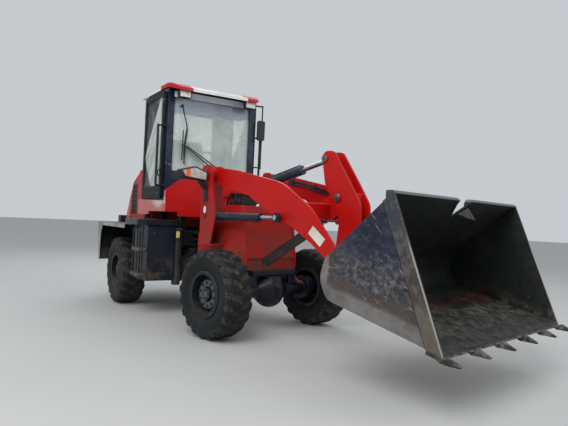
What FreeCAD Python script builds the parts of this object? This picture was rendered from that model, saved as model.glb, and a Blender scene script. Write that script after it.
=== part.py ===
import FreeCAD, Part
import math
import os
import re
from FreeCAD import Placement, Rotation, Vector

# A compact articulated wheel loader with a Z-bar boom and a wide toothed bucket.
# Millimetres. +X is forward along the rear frame, +Y is left and +Z is up.
# The ground is z = 0. Rear parts are drawn from the upright articulation pin, and
# front parts are drawn straight ahead of it and then turned by the steering angle.

SIZES = [
    # The stance
    ("origin_ahead", 772, "bounding box centre ahead of the articulation pin"),
    ("origin_left", 375, "bounding box centre left of the rear frame's middle"),
    ("steer_rest", 11.3, "front frame turned left where it stands, degrees"),
    ("front_axle_ahead", 1062, "front axle ahead of the articulation pin"),
    ("rear_axle_behind", 1091, "rear axle behind the articulation pin"),
    ("track", 1374, "between the middles of the tyres of one axle"),
    ("running_gap", 0.5, "radial clearance of a pin in its bore"),
    ("side_gap", 5, "clearance beside a moving plate"),
    # Wheels
    ("tyre_diameter", 850, "12.5/70-16 tyre"),
    ("tyre_width", 315, ""),
    ("tyre_shoulder", 30, "drop from the crown to the shoulder"),
    ("shoulder_slope", 12, "first drop beside the flat of the tread"),
    ("tread_half", 96, "half width of the tread's flat"),
    ("lug_count", 20, "lugs around a tyre, on each side of the middle"),
    ("groove_width", 66, "gap between two lugs, around the tyre"),
    ("groove_depth", 20, ""),
    ("groove_lean", 70, "the lugs trail by this at the shoulder"),
    ("groove_middle", 14, "half width of the rib around the middle"),
    ("rim_diameter", 442, "over the rim flange"),
    ("rim_width", 270, "over both flanges"),
    ("rim_seat", 204, "radius of the bead seat"),
    ("rim_barrel", 186, "inner radius of the rim barrel"),
    ("disc_radius", 130, "flat of the wheel disc"),
    ("disc_plate", 14, ""),
    ("disc_inset", 62, "disc outside the middle of the tyre"),
    ("hub_cap", 62, "radius of the planet hub through the disc"),
    ("hub_reach", 108, "hub end beyond the middle of the tyre"),
    # Axles
    ("axle_tube", 74, "radius of the axle beam"),
    ("axle_ball", 186, "radius of the differential housing"),
    ("axle_flange", 128, "radius of the brake housings"),
    ("brake_inner", 470, "inner face of the brake housing from the middle"),
    ("brake_outer", 560, "outer face of the brake housing"),
    ("saddle_inner", 220, "axle saddles from the middle"),
    ("saddle_outer", 318, ""),
    ("saddle_length", 130, ""),
    # Rear frame
    ("rail_outer", 320, "outer face of the chassis rails"),
    ("rail_plate", 20, ""),
    ("rail_low", 560, ""),
    ("rail_high", 860, ""),
    ("rail_rear", 1940, "rear end of the rails behind the pin"),
    ("rail_front", 150, "front end of the rails behind the pin"),
    ("deck_high", 1010, "underside of the hood and fenders"),
    ("deck_post", 70, "square cross members under the deck"),
    # Articulation
    ("knuckle_radius", 82, "round ends of the articulation lugs"),
    ("knuckle_pin", 34, "radius of the articulation pins"),
    ("knuckle_low", 555, "middle of the lower articulation joint"),
    ("knuckle_high", 915, "middle of the upper articulation joint"),
    ("knuckle_inner", 44, "thickness of the front frame's lug"),
    ("knuckle_plate", 26, "thickness of the rear frame's lugs"),
    # Steering cylinders
    ("steer_foot_behind", 600, "rear pin of a steering cylinder"),
    ("steer_foot_side", 175, ""),
    ("steer_eye_ahead", 185, "front pin of a steering cylinder"),
    ("steer_eye_side", 215, ""),
    ("steer_level", 735, ""),
    ("steer_barrel", 32, "outer radius"),
    ("steer_rod", 16, "radius"),
    ("steer_body", 545, "barrel end from the rear pin"),
    ("steer_pin", 15, "radius"),
    # Counterweight
    ("weight_front", 1940, "front face behind the pin"),
    ("weight_rear", 2160, "rear face behind the pin"),
    ("weight_half", 560, "half width"),
    ("weight_low", 500, ""),
    ("weight_high", 1120, ""),
    ("tow_bore", 17, "radius of the drawbar pin's bore"),
    ("tow_gap", 62, "mouth of the tow hitch"),
    ("tow_level", 640, "middle of the hitch mouth"),
    ("tow_reach", 120, "hitch jaws behind the counterweight"),
    # Engine and hood
    ("engine_length", 500, ""),
    ("engine_width", 460, ""),
    ("engine_height", 520, ""),
    ("engine_rear", 1700, "rear face behind the pin"),
    ("hood_half", 480, "half width of the hood"),
    ("hood_wall", 14, ""),
    ("hood_front", 1008, "front face behind the pin"),
    ("hood_top", 1748, "height beside the cab"),
    ("hood_break", 1647, "where the top breaks down, behind the pin"),
    ("hood_break_high", 1594, ""),
    ("hood_crest", 1300, "where the flat top ends, behind the pin"),
    ("hood_corner", 86, "cut front corners of the hood"),
    ("louvre_lean", 70, "the louvre's rear edge leans forward by this"),
    ("hood_tail", 1935, "rear end behind the pin"),
    ("louvre_low", 1150, ""),
    ("louvre_high", 1560, ""),
    ("louvre_front", 1450, ""),
    ("louvre_rear", 1712, ""),
    ("louvre_bars", 6, "slots in each louvre"),
    # Fenders
    ("fender_outer", 880, ""),
    ("fender_inner", 545, ""),
    ("fender_front", 566, "front edge behind the pin"),
    ("fender_rear", 1896, "rear edge behind the pin"),
    ("fender_plate", 12, ""),
    ("fender_lip", 46, ""),
    ("fender_flap_low", 500, ""),
    # Tanks and steps
    ("tank_front", 30, "front face behind the pin"),
    ("tank_rear", 560, ""),
    ("tank_outer", 760, ""),
    ("tank_low", 400, ""),
    ("tank_high", 1030, ""),
    ("platform_gap", 0.3, "cover plate above a tank"),
    ("platform_plate", 66, "rounded cover over a tank"),
    ("platform_outer", 872, ""),
    ("filter_radius", 50, "upright filter beside the right tank"),
    ("filter_low", 345, ""),
    ("filter_high", 1005, ""),
    ("filter_niche", 124, "niche in the right tank's inner front corner"),
    ("tread_outer", 850, ""),
    ("tread_length", 260, ""),
    ("tread_low", 450, ""),
    ("tread_rise", 285, ""),
    ("tread_plate", 38, ""),
    # Cab
    ("cab_front", 100, "front face behind the pin"),
    ("cab_rear", 1000, "rear face behind the pin"),
    ("cab_half", 572, "half width"),
    ("cab_wall", 45, ""),
    ("cab_cut_long", 150, "cut rear corners, along the side"),
    ("cab_cut_wide", 120, "cut rear corners, across"),
    ("cab_floor", 1195, "underside of the floor"),
    ("floor_plate", 45, ""),
    ("cab_top", 2640, "underside of the roof"),
    ("roof_plate", 44, ""),
    ("roof_front", 110, "roof edge ahead of the pin"),
    ("roof_rear", 1040, "roof edge behind the pin"),
    ("roof_half", 588, ""),
    ("roof_edge", 30, "slope of the roof edge"),
    ("roof_drop", 58, "the front visor's lower edge below the roof"),
    ("roof_step", 8, "red corner caps above the pale roof"),
    ("cap_width", 235, "corner cap across the front"),
    ("cap_length", 450, "corner cap along the side"),
    ("cowl_plate", 42, "front cowl below the windscreen"),
    ("cowl_side_high", 1436, ""),
    ("cowl_high", 1580, ""),
    ("cowl_shoulder", 384, "half width of the cowl's flat top"),
    ("cowl_crease", 1318, "fold across the cowl"),
    ("cowl_fold", 10, "the lower cowl stands proud"),
    ("cowl_drop", 1146, "lower edge at the middle"),
    ("cowl_drop_half", 404, ""),
    ("sill_high", 1338, "top of the side sills"),
    ("sill_plate", 28, ""),
    ("sill_low", 1152, "lower edge behind the step"),
    ("sill_step", 580, "where the lower edge rises, behind the pin"),
    ("pane", 6, "glass thickness"),
    ("screen_low", 1575, ""),
    ("screen_high", 2545, ""),
    ("screen_half", 500, ""),
    ("pillar", 62, "width of a cab pillar"),
    # Doors
    ("door_front", 140, "front edge behind the pin"),
    ("door_rear", 830, ""),
    ("door_low", 1345, ""),
    ("door_high", 2600, ""),
    ("door_plate", 34, ""),
    ("door_rim", 48, "frame around the door's glass"),
    ("door_pane_low", 1480, ""),
    ("hinge_radius", 13, "door hinge knuckles"),
    ("hinge_pin", 7, "radius"),
    ("hinge_tall", 60, ""),
    # Front frame and tower
    ("inner_face", 336, "inner face of the front frame's side plates"),
    ("inner_plate", 16, ""),
    ("outer_face", 502, "inner face of the tower's outer plates"),
    ("outer_plate", 16, ""),
    ("frame_low", 640, "underside of the front frame"),
    ("frame_rear", 250, "rear face ahead of the articulation pin"),
    ("frame_nose", 1090, "front end of the side plates"),
    ("cover_high", 1290, "top of the front cover"),
    ("valve_rear", 800, "valve block on the front cover"),
    ("valve_front", 960, ""),
    ("valve_inner", 130, ""),
    ("valve_outer", 320, ""),
    ("valve_rise", 82, ""),
    ("pipe", 15, "square section of the bent pipes and hoses"),
    ("tower_ledge", 878, "foot of the outer plates"),
    ("tower_top", 1697, ""),
    ("slot_low", 1308, "slot in the tower's outer plates"),
    ("slot_high", 1428, ""),
    # Boom pivots in the front frame
    ("boom_pivot_x", 575, ""),
    ("boom_pivot_z", 1612, ""),
    ("boom_pin", 32, "radius"),
    ("boom_hub", 72, "radius of the hubs of the arms"),
    ("arm_inner", 386, "inner face of an arm"),
    ("arm_plate", 32, ""),
    ("beam_rear", 1760, "rear face of the cross beam"),
    ("beam_length", 165, ""),
    ("beam_low", 1175, ""),
    ("beam_high", 1330, ""),
    ("horn_inner", 30, "inner face of a bellcrank horn"),
    ("horn_plate", 18, ""),
    # Lift cylinders
    ("lift_foot_x", 590, ""),
    ("lift_foot_z", 1172, ""),
    ("lift_eye_x", 1640, ""),
    ("lift_eye_z", 1178, ""),
    ("lift_side", 460, "cylinder axis from the middle"),
    ("lift_barrel", 36, "outer radius"),
    ("lift_rod", 19, "radius"),
    ("lift_body", 825, "barrel end from the rear pin"),
    ("lift_pin", 25, "radius"),
    ("lift_eye", 46, "radius of the rod's eye"),
    ("lift_eye_half", 20, "half width of the rod's eye"),
    # Bellcrank, link and tilt cylinder
    ("crank_pivot_x", 2032, ""),
    ("crank_pivot_z", 1386, ""),
    ("crank_top_x", 1855, ""),
    ("crank_top_z", 1750, ""),
    ("crank_foot_x", 2060, ""),
    ("crank_foot_z", 775, ""),
    ("crank_inner", 54, "inner face of a bellcrank plate"),
    ("crank_plate", 22, ""),
    ("crank_pin", 28, "radius"),
    ("link_half", 30, "half thickness of the link"),
    ("link_pin", 26, "radius"),
    ("link_eye", 56, "radius of the link's eyes"),
    ("link_high", 72, "height of the link's bar"),
    ("tilt_foot_x", 600, ""),
    ("tilt_foot_z", 1448, ""),
    ("tilt_barrel", 47, "outer radius"),
    ("tilt_rod", 24, "radius"),
    ("tilt_body", 920, "barrel end from the rear pin"),
    ("tilt_pin", 24, "radius"),
    ("tilt_eye", 46, "radius of the rod's eye"),
    # Bucket
    ("bucket_half", 922, "half width over the side plates"),
    ("bucket_hinge_x", 2512, ""),
    ("bucket_hinge_z", 655, ""),
    ("bucket_link_x", 2650, ""),
    ("bucket_link_z", 1000, ""),
    ("bucket_lip_x", 3600, ""),
    ("bucket_lip_z", 408, ""),
    ("bucket_top_x", 3212, ""),
    ("bucket_top_z", 1378, ""),
    ("bucket_shell", 14, ""),
    ("bucket_side", 14, ""),
    ("bucket_strip", 10, "strip along a side plate's front edge"),
    ("strip_width", 96, ""),
    ("dent_side", 60, "torn dent in the top edge, left of the middle"),
    ("dent_deep", 135, ""),
    ("bucket_pin", 29, "radius"),
    ("lug_plate", 20, ""),
    ("lug_radius", 68, ""),
    ("edge_plate", 26, "cutting edge thickness"),
    ("edge_depth", 110, "cutting edge from front to back"),
    ("tooth_reach", 118, "teeth ahead of the lip"),
    ("tooth_width", 30, ""),
    ("teeth", 6, "number of teeth"),
    # Lamps
    ("headlamp_ahead", 560, "back of a headlamp"),
    ("headlamp_depth", 78, ""),
    ("headlamp_inner", 536, ""),
    ("headlamp_outer", 872, ""),
    ("headlamp_low", 1524, ""),
    ("headlamp_high", 1668, ""),
    ("roof_lamp_width", 147, ""),
    ("roof_lamp_height", 88, ""),
    ("roof_lamp_side", 352, "inner edge of a roof lamp from the middle"),
    # Small furniture
    ("seat_width", 480, ""),
    ("seat_back", 885, "back of the seat behind the pin"),
    ("seat_depth", 440, ""),
    ("seat_high", 1640, "top of the cushion"),
    ("seat_back_high", 2180, ""),
    ("console_ahead", 250, "front of the steering console behind the pin"),
    ("console_length", 150, ""),
    ("console_width", 220, ""),
    ("console_high", 1760, ""),
    ("column_slope", 28, "degrees from upright"),
    ("wheel_rim", 195, "radius of the steering wheel"),
    ("handle_bar", 11, "radius of grab handles"),
    ("handle_ahead", 118, "grab handle behind the pin"),
    ("handle_out", 100, "grab handle outside the cab"),
    ("handle_low", 1480, ""),
    ("handle_high", 2200, ""),
    ("stack_radius", 42, "exhaust stack"),
    ("stack_top", 1980, ""),
    ("stack_behind", 210, "exhaust stack behind the hood's front face"),
    ("stack_side", 175, ""),
    ("strut_high", 84, "boom safety strut"),
]

doc = FreeCAD.newDocument("WheelLoader")
sheet = doc.addObject("Spreadsheet::Sheet", "Dims")
for row, (alias, value, meaning) in enumerate(SIZES, 1):
    sheet.set(f"A{row}", meaning)
    sheet.set(f"B{row}", str(value))
    sheet.setAlias(f"B{row}", alias)
doc.recompute()


class Dims:
    """The sheet's values, read by name."""

    def __getattr__(self, alias):
        return float(sheet.get(alias))


d = Dims()


def bound(text):
    """A sum of size names as an expression that the sheet drives."""
    return re.sub(r"[a-z][a-z_]+", lambda word: "Dims." + word.group(), str(text))


def unit(u, v):
    length = math.hypot(u, v)
    return u / length, v / length


def rounded(corners):
    """Edges of a closed outline; a corner (u, v, radius) is rounded by a tangent arc."""
    stops = []
    for index, corner in enumerate(corners):
        u, v = corner[0], corner[1]
        radius = corner[2] if len(corner) > 2 else 0
        if not radius:
            stops.append((Vector(u, v, 0), None, Vector(u, v, 0)))
            continue
        before = corners[index - 1]
        after = corners[(index + 1) % len(corners)]
        au, av = unit(before[0] - u, before[1] - v)
        bu, bv = unit(after[0] - u, after[1] - v)
        half = math.acos(max(-1, min(1, au * bu + av * bv))) / 2
        reach = radius / math.tan(half)
        mu, mv = unit(au + bu, av + bv)
        deep = radius / math.sin(half) - radius
        stops.append((
            Vector(u + au * reach, v + av * reach, 0),
            Vector(u + mu * deep, v + mv * deep, 0),
            Vector(u + bu * reach, v + bv * reach, 0),
        ))
    edges = []
    for index, (start, middle, end) in enumerate(stops):
        if middle is not None:
            edges.append(Part.Arc(start, middle, end))
        following = stops[(index + 1) % len(stops)][0]
        if (following - end).Length > 0.001:
            edges.append(Part.LineSegment(end, following))
    return edges


def disc(u, v, radius):
    """A round outline."""
    return [Part.Circle(Vector(u, v, 0), Vector(0, 0, 1), radius)]


def box(u_low, u_high, v_low, v_high, radius=0):
    """A rectangular outline with rounded corners."""
    corners = [(u_low, v_low), (u_high, v_low), (u_high, v_high), (u_low, v_high)]
    return rounded([corner + (radius,) for corner in corners])


def inset(corners, depths):
    """The outline moved inwards, each edge by its own depth; corners run anticlockwise."""
    moved = []
    count = len(corners)
    for index in range(count):
        here = corners[index]
        before = corners[index - 1]
        after = corners[(index + 1) % count]
        lines = []
        for start, end, depth in ((before, here, depths[index - 1]), (here, after, depths[index])):
            du, dv = unit(end[0] - start[0], end[1] - start[1])
            lines.append((start[0] - dv * depth, start[1] + du * depth, du, dv))
        (u1, v1, du1, dv1), (u2, v2, du2, dv2) = lines
        cross = du1 * dv2 - dv1 * du2
        step = ((u2 - u1) * dv2 - (v2 - v1) * du2) / cross
        radius = here[2] if len(here) > 2 else 0
        radius = max(radius - depths[index], 0)
        moved.append((u1 + du1 * step, v1 + dv1 * step, radius))
    return moved


def span(side, near, far):
    """Low and high levels of a plate on the left (1) or the right (-1)."""
    if side > 0:
        return f"{near}", f"{far}"
    return f"-({far})", f"-({near})"


BOTH = (-1, 1)
SIDE_NAMES = {-1: "right", 1: "left"}
pieces = []


class Piece:
    """One sub-part: a PartDesign body whose features are added in turn."""

    def __init__(self, label, front=False, place=None):
        self.body = doc.addObject("PartDesign::Body", label)
        self.body.Label = label
        self.body.AllowCompound = True
        if place is None:
            self.body.Placement = Placement(Vector(), Rotation(Vector(0, 0, 1), 1))
            self.body.setExpression("Placement.Base.x", "-Dims.origin_ahead")
            self.body.setExpression("Placement.Base.y", "-Dims.origin_left")
            turn = "Dims.steer_rest" if front else "0"
            self.body.setExpression("Placement.Rotation.Angle", turn)
        else:
            self.body.Placement = place
        pieces.append(self)

    def sketch(self, plane, outlines, level):
        """A sketch at a level along the plane's axis; XZ levels are along -Y."""
        sketch = self.body.newObject("Sketcher::SketchObject", "Outline")
        role = plane + "_Plane"
        base = [f for f in self.body.Origin.OriginFeatures if f.Role == role][0]
        sketch.AttachmentSupport = (base, [""])
        sketch.MapMode = "FlatFace"
        sketch.setExpression("AttachmentOffset.Base.z", bound(level))
        sketch.addGeometry([edge for outline in outlines for edge in outline], False)
        return sketch

    def feature(self, kind, plane, outlines, low, high):
        level = f"-({high})" if plane == "XZ" else low
        sketch = self.sketch(plane, outlines, level)
        feature = self.body.newObject("PartDesign::" + kind, kind)
        feature.Profile = sketch
        feature.setExpression("Length", bound(f"({high}) - ({low})"))
        return feature

    def slab(self, plane, outline, low, high, holes=()):
        """Material between two levels, with holes through it."""
        self.feature("Pad", plane, [outline, *holes], low, high)
        return self

    def slabs(self, outline, near, far, holes=()):
        """A pair of upright plates, left and right."""
        for side in BOTH:
            self.slab("XZ", outline, *span(side, near, far), holes)
        return self

    def cut(self, plane, outline, low, high):
        """A pocket between two levels; it has to take material away."""
        doc.recompute()
        before = self.body.Shape.Volume
        pocket = self.feature("Pocket", plane, [outline], low, high)
        pocket.Reversed = True
        doc.recompute()
        if self.body.Shape.Volume > before - 1:
            raise ValueError(f"{self.body.Label}: a cut takes nothing away")
        return self

    def around(self, plane, outlines, low, high, count):
        """A pocket repeated about the piece's own Y axis."""
        pocket = self.feature("Pocket", plane, outlines, low, high)
        pocket.Reversed = True
        ring = self.body.newObject("PartDesign::PolarPattern", "Ring")
        ring.Originals = [pocket]
        axis = [f for f in self.body.Origin.OriginFeatures if f.Role == "Y_Axis"][0]
        ring.Axis = (axis, [""])
        ring.Angle = 360
        ring.setExpression("Occurrences", bound(count))
        self.body.Tip = ring

    def turn(self, plane, outline, subtract=False):
        """A turned form about the plane's upright axis: Y on XY, and Z on XZ and YZ."""
        sketch = self.sketch(plane, [outline], "0")
        kind = "Groove" if subtract else "Revolution"
        feature = self.body.newObject("PartDesign::" + kind, kind)
        feature.Profile = sketch
        feature.ReferenceAxis = (sketch, ["V_Axis"])
        feature.Angle = 360
        return self


def frame_place(front):
    """Where the rear or the front frame's own axes stand."""
    turn = Rotation(Vector(0, 0, 1), d.steer_rest if front else 0)
    return Placement(Vector(-d.origin_ahead, -d.origin_left, 0), turn)


def at(front, x, y, z, turn=None):
    """A place in the rear or the front frame, with the piece's own turn there."""
    return frame_place(front).multiply(Placement(Vector(x, y, z), turn or Rotation()))


# Wheels: a tyre and a rim for each corner, turned about the axle line.

def wheel_place(end, side):
    front = end == "front"
    x = d.front_axle_ahead if front else -d.rear_axle_behind
    facing = Rotation(Vector(0, 0, 1), 0 if side > 0 else 180)
    return at(front, x, side * d.track / 2, d.tyre_diameter / 2, facing)


def make_tyre(end, side):
    crown = d.tyre_diameter / 2
    half = d.tyre_width / 2
    bead = d.rim_width / 2 - 14
    outline = rounded([
        (d.rim_seat, -bead),
        (d.rim_seat + 40, -bead, 20),
        (crown * 0.72, -half, 60),
        (crown - d.tyre_shoulder, -half + 8),
        (crown - d.shoulder_slope, -(d.tread_half + half) / 2),
        (crown, -d.tread_half),
        (crown, d.tread_half),
        (crown - d.shoulder_slope, (d.tread_half + half) / 2),
        (crown - d.tyre_shoulder, half - 8),
        (crown * 0.72, half, 60),
        (d.rim_seat + 40, bead, 20),
        (d.rim_seat, bead),
    ])
    tyre = Piece(f"tyre_{end}_{SIDE_NAMES[side]}", place=wheel_place(end, side))
    tyre.turn("XY", outline)
    pitch = math.pi * d.tyre_diameter / d.lug_count
    grooves = []
    for flank, shift in ((-1, -pitch / 4), (1, pitch / 4)):
        lead = side * (shift + d.groove_lean / 2)
        trail = side * (shift - d.groove_lean / 2)
        wide = side * d.groove_width / 2
        near = side * flank * d.groove_middle
        far = side * flank * (half + 14)
        groove = [(lead - wide, near), (lead + wide, near), (trail + wide, far), (trail - wide, far)]
        grooves.append(rounded(groove[::flank]))
    crown = "tyre_diameter/2"
    tyre.around("XY", grooves, f"{crown} - groove_depth", f"{crown} + 20", "lug_count")


def make_rim(end, side):
    """The rim's barrel and disc; its outer face is on the piece's own +Y side."""
    edge = d.rim_width / 2
    flange = d.rim_diameter / 2
    outline = rounded([
        (d.rim_barrel, -edge),
        (flange, -edge, 4),
        (flange, -edge + 14),
        (d.rim_seat, -edge + 14),
        (d.rim_seat, edge - 14),
        (flange, edge - 14),
        (flange, edge, 4),
        (d.rim_barrel, edge),
        (d.rim_barrel, d.disc_inset - 40, 10),
        (d.disc_radius, d.disc_inset, 10),
        (d.hub_cap + d.running_gap, d.disc_inset),
        (d.hub_cap + d.running_gap, d.disc_inset - d.disc_plate),
        (d.disc_radius, d.disc_inset - d.disc_plate, 10),
        (d.rim_barrel, d.disc_inset - 40 - 2 * d.disc_plate, 10),
    ])
    rim = Piece(f"rim_{end}_{SIDE_NAMES[side]}", place=wheel_place(end, side))
    rim.turn("XY", outline)


# Axles: beam, differential, brake housings and hub ends in one turned form, with saddles.

def make_axle(end):
    front = end == "front"
    x = d.front_axle_ahead if front else -d.rear_axle_behind
    middle = d.tyre_diameter / 2
    axle = Piece(f"{end}_axle", place=at(front, x, 0, middle))
    half = d.track / 2
    mirror = []
    profile = [
        (d.axle_ball * 0.92, 60, 50),
        (d.axle_tube, 190, 40),
        (d.axle_tube, d.brake_inner, 10),
        (d.axle_flange, d.brake_inner, 8),
        (d.axle_flange, d.brake_outer, 8),
        (d.disc_radius - 42, d.brake_outer, 4),
        (d.disc_radius - 42, half + d.disc_inset - d.disc_plate - 2),
        (d.hub_cap, half + d.disc_inset - d.disc_plate - 2),
        (d.hub_cap, half + d.hub_reach, 12),
        (0, half + d.hub_reach),
    ]
    for corner in reversed(profile):
        mirror.append((corner[0], -corner[1]) + tuple(corner[2:]))
    axle.turn("XY", rounded([(d.axle_ball, 0, 100)] + profile + mirror))
    seat = (d.frame_low if front else d.rail_low) - middle
    block = box(-d.saddle_length / 2, d.saddle_length / 2, d.axle_tube - 30, seat)
    axle.slabs(block, "saddle_inner", "saddle_outer")
    nose = 1 if not front else -1
    neck = box(-70, 70, -70, 70, 40)
    low, high = ("axle_ball - 60", "axle_ball + 110") if nose > 0 else ("-axle_ball - 110", "60 - axle_ball")
    axle.slab("YZ", neck, low, high)


# Rear frame: two rails, cross members, cab feet and the rear half of the articulation.

def make_rear_frame():
    frame = Piece("rear_frame")
    rail = rounded([
        (-d.rail_rear, d.rail_low + 60),
        (-d.rail_rear + 250, d.rail_low),
        (-d.rail_front, d.rail_low),
        (-d.rail_front, d.rail_high),
        (-d.rail_rear, d.rail_high),
    ])
    frame.slabs(rail, "rail_outer - rail_plate", "rail_outer")
    head = d.knuckle_high + d.knuckle_inner / 2 + d.knuckle_plate + 20
    foot = d.knuckle_low - d.knuckle_inner / 2 - d.knuckle_plate - 20
    for low, high in ((foot, 660), (800, head)):
        wall = box(-d.rail_outer, d.rail_outer, low, high)
        frame.slab("YZ", wall, "-rail_front - rail_plate", "-rail_front")
    back = d.knuckle_radius
    lug = rounded([
        (-d.rail_front, -200),
        (back, -back, back * 0.95),
        (back, back, back * 0.95),
        (-d.rail_front, 200),
    ])
    for level in ("knuckle_low", "knuckle_high"):
        near = f"{level} + knuckle_inner/2 + 3"
        frame.slab("XY", lug, near, f"{near} + knuckle_plate")
        far = f"{level} - knuckle_inner/2 - 3"
        frame.slab("XY", lug, f"{far} - knuckle_plate", far)
        pin = disc(0, 0, d.knuckle_pin)
        frame.slab("XY", pin, f"{far} - knuckle_plate - 12", f"{near} + knuckle_plate + 12")
    for behind in (d.fender_front + 40, d.rail_rear - 180):
        post = box(-behind - d.deck_post, -behind, d.rail_high, d.deck_high)
        frame.slab("XZ", post, "-fender_inner", "fender_inner")
    for behind in (d.cab_front + 90, d.cab_rear - 160):
        foot_post = box(-behind - d.deck_post, -behind, d.rail_high, d.cab_floor)
        frame.slabs(foot_post, "rail_outer - deck_post", "rail_outer")
    tie = box(-d.rail_rear + 300, -d.rail_rear + 320, d.rail_low, d.rail_high)
    frame.slab("XZ", tie, "-rail_outer", "rail_outer")
    clevis(frame, -d.steer_foot_behind, d.steer_foot_side, d.rail_outer - d.rail_plate)
    return frame


def clevis(frame, x, side_place, wall):
    """The rear lugs and pins of both steering cylinders, on the rails' inner faces."""
    for side in BOTH:
        outline = rounded([
            (x - 42, side * wall),
            (x - 42, side * (side_place - 34), 30),
            (x + 42, side * (side_place - 34), 30),
            (x + 42, side * wall),
        ][::side])
        frame.slab("XY", outline, "steer_level + 26", "steer_level + 40")
        frame.slab("XY", outline, "steer_level - 40", "steer_level - 26")
        pin = disc(x, side * side_place, d.steer_pin)
        frame.slab("XY", pin, "steer_level - 46", "steer_level + 46")


# Counterweight with a tow hitch at its back.

def make_counterweight():
    weight = Piece("counterweight")
    plan = rounded([
        (-d.weight_front, -d.weight_half),
        (-d.weight_front, d.weight_half),
        (-d.weight_rear, d.weight_half, 110),
        (-d.weight_rear, -d.weight_half, 110),
    ][::-1])
    weight.slab("XY", plan, "weight_low", "weight_high")
    jaw = rounded([
        (-d.weight_rear - d.tow_reach, -58, 50),
        (-d.weight_rear - d.tow_reach, 58, 50),
        (-d.weight_rear + 5, 90),
        (-d.weight_rear + 5, -90),
    ][::-1])
    bore = disc(-d.weight_rear - d.tow_reach / 2, 0, d.tow_bore)
    weight.slab("XY", jaw, "tow_level + tow_gap/2", "tow_level + tow_gap/2 + 26", [bore])
    weight.slab("XY", jaw, "tow_level - tow_gap/2 - 26", "tow_level - tow_gap/2", [bore])
    return weight


# Engine, hood and exhaust.

def make_engine():
    block = Piece("engine_block")
    outline = box(-d.engine_rear, -d.engine_rear + d.engine_length, d.rail_high, d.rail_high + d.engine_height)
    block.slab("XZ", outline, "-engine_width/2", "engine_width/2")


def hood_outline():
    return [
        (-d.hood_tail, d.deck_high),
        (-d.hood_front, d.deck_high),
        (-d.hood_front, d.hood_top, 30),
        (-d.hood_crest, d.hood_top, 80),
        (-d.hood_break, d.hood_break_high, 80),
        (-d.hood_tail + 16, 1160, 30),
        (-d.hood_tail, 1100),
    ]


def make_hood():
    hood = Piece("hood")
    outline = hood_outline()
    hood.slab("XZ", rounded(outline), "-hood_half", "hood_half")
    inner = inset(outline, [-5] + [d.hood_wall] * 6)
    hood.cut("XZ", rounded(inner), "hood_wall - hood_half", "hood_half - hood_wall")
    for side in BOTH:
        corner = rounded([
            (-d.hood_front + 5, side * (d.hood_half + 5)),
            (-d.hood_front + 5, side * (d.hood_half - d.hood_corner)),
            (-d.hood_front - d.hood_corner, side * (d.hood_half + 5)),
        ][::-side])
        hood.cut("XY", corner, "deck_high - 5", "hood_top + 5")
    pitch = (d.louvre_high - d.louvre_low) / d.louvre_bars
    lean = d.louvre_lean / d.louvre_bars
    for index in range(int(d.louvre_bars)):
        low = d.louvre_low + index * pitch
        slot = box(-d.louvre_rear + lean * index, -d.louvre_front, low + 4, low + pitch - 14, 6)
        hood.cut("XZ", slot, "-hood_half - 5", "hood_half + 5")
    hole = disc(-d.hood_front - d.stack_behind, d.stack_side, d.stack_radius + 4)
    hood.cut("XY", hole, "hood_break_high", "hood_top + 10")
    return hood


def make_grille():
    """The radiator grille: upright bars in a frame across the hood's tail."""
    grille = Piece("radiator_grille")
    front = -d.hood_tail + d.hood_wall + 30
    frame_outline = box(-d.hood_half + d.hood_wall, d.hood_half - d.hood_wall, d.deck_high, 1110)
    openings = []
    bars = 9
    pitch = (2 * d.hood_half - 120) / bars
    for index in range(bars):
        low = -d.hood_half + 60 + index * pitch
        openings.append(box(low + 8, low + pitch - 8, d.deck_high + 18, 1092))
    grille.slab("YZ", frame_outline, f"{front}", f"{front} + 12", openings)


def make_exhaust():
    stack = Piece("exhaust", place=at(False, -d.hood_front - d.stack_behind, d.stack_side, 0))
    foot = d.rail_high + d.engine_height
    profile = rounded([
        (d.stack_radius - 8, foot),
        (d.stack_radius, foot),
        (d.stack_radius, d.stack_top),
        (d.stack_radius - 8, d.stack_top),
    ])
    stack.turn("XZ", profile)
    collar = rounded([
        (d.stack_radius - 2, 1765),
        (d.stack_radius + 22, 1765),
        (d.stack_radius + 22, 1800),
        (d.stack_radius - 2, 1800),
    ])
    stack.turn("XZ", collar)


# Fenders, tanks and steps beside the chassis.

def make_fenders():
    fenders = Piece("rear_fenders")
    plate = d.fender_plate
    top = d.deck_high + plate
    strip = rounded([
        (-d.fender_front, d.deck_high),
        (-d.fender_front, top),
        (-d.fender_rear, top, 30),
        (-d.fender_rear + 105, d.fender_flap_low),
        (-d.fender_rear + 105 + plate, d.fender_flap_low),
        (-d.fender_rear + plate, d.deck_high, 20),
    ])
    fenders.slabs(strip, "fender_inner", "fender_outer")
    lip = rounded([
        (-d.fender_front, top),
        (-d.fender_rear, top, 30),
        (-d.fender_rear + 105, d.fender_flap_low),
        (-d.fender_rear + 105 + d.fender_lip, d.fender_flap_low),
        (-d.fender_rear + d.fender_lip, top - d.fender_lip, 20),
        (-d.fender_front, top - d.fender_lip),
    ])
    fenders.slabs(lip, "fender_outer - fender_plate", "fender_outer")
    wall = box(-d.fender_rear + plate, -d.fender_front, d.deck_high - 70, top)
    fenders.slabs(wall, "fender_inner", "fender_inner + fender_plate")


def make_tank(side):
    name = {-1: "fuel_tank", 1: "hydraulic_tank"}[side]
    tank = Piece(name)
    inner, outer = span(side, "rail_outer", "tank_outer")
    outline = box(-d.tank_rear, -d.tank_front, d.tank_low, d.tank_high, 26)
    tank.slab("XZ", outline, inner, outer)
    if side < 0:
        niche = box(-d.tank_front - d.filter_niche, -d.tank_front + 5, -d.rail_outer - d.filter_niche, 5 - d.rail_outer)
        tank.cut("XY", niche, "tank_low - 5", "tank_high + 5")
    return tank


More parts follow.
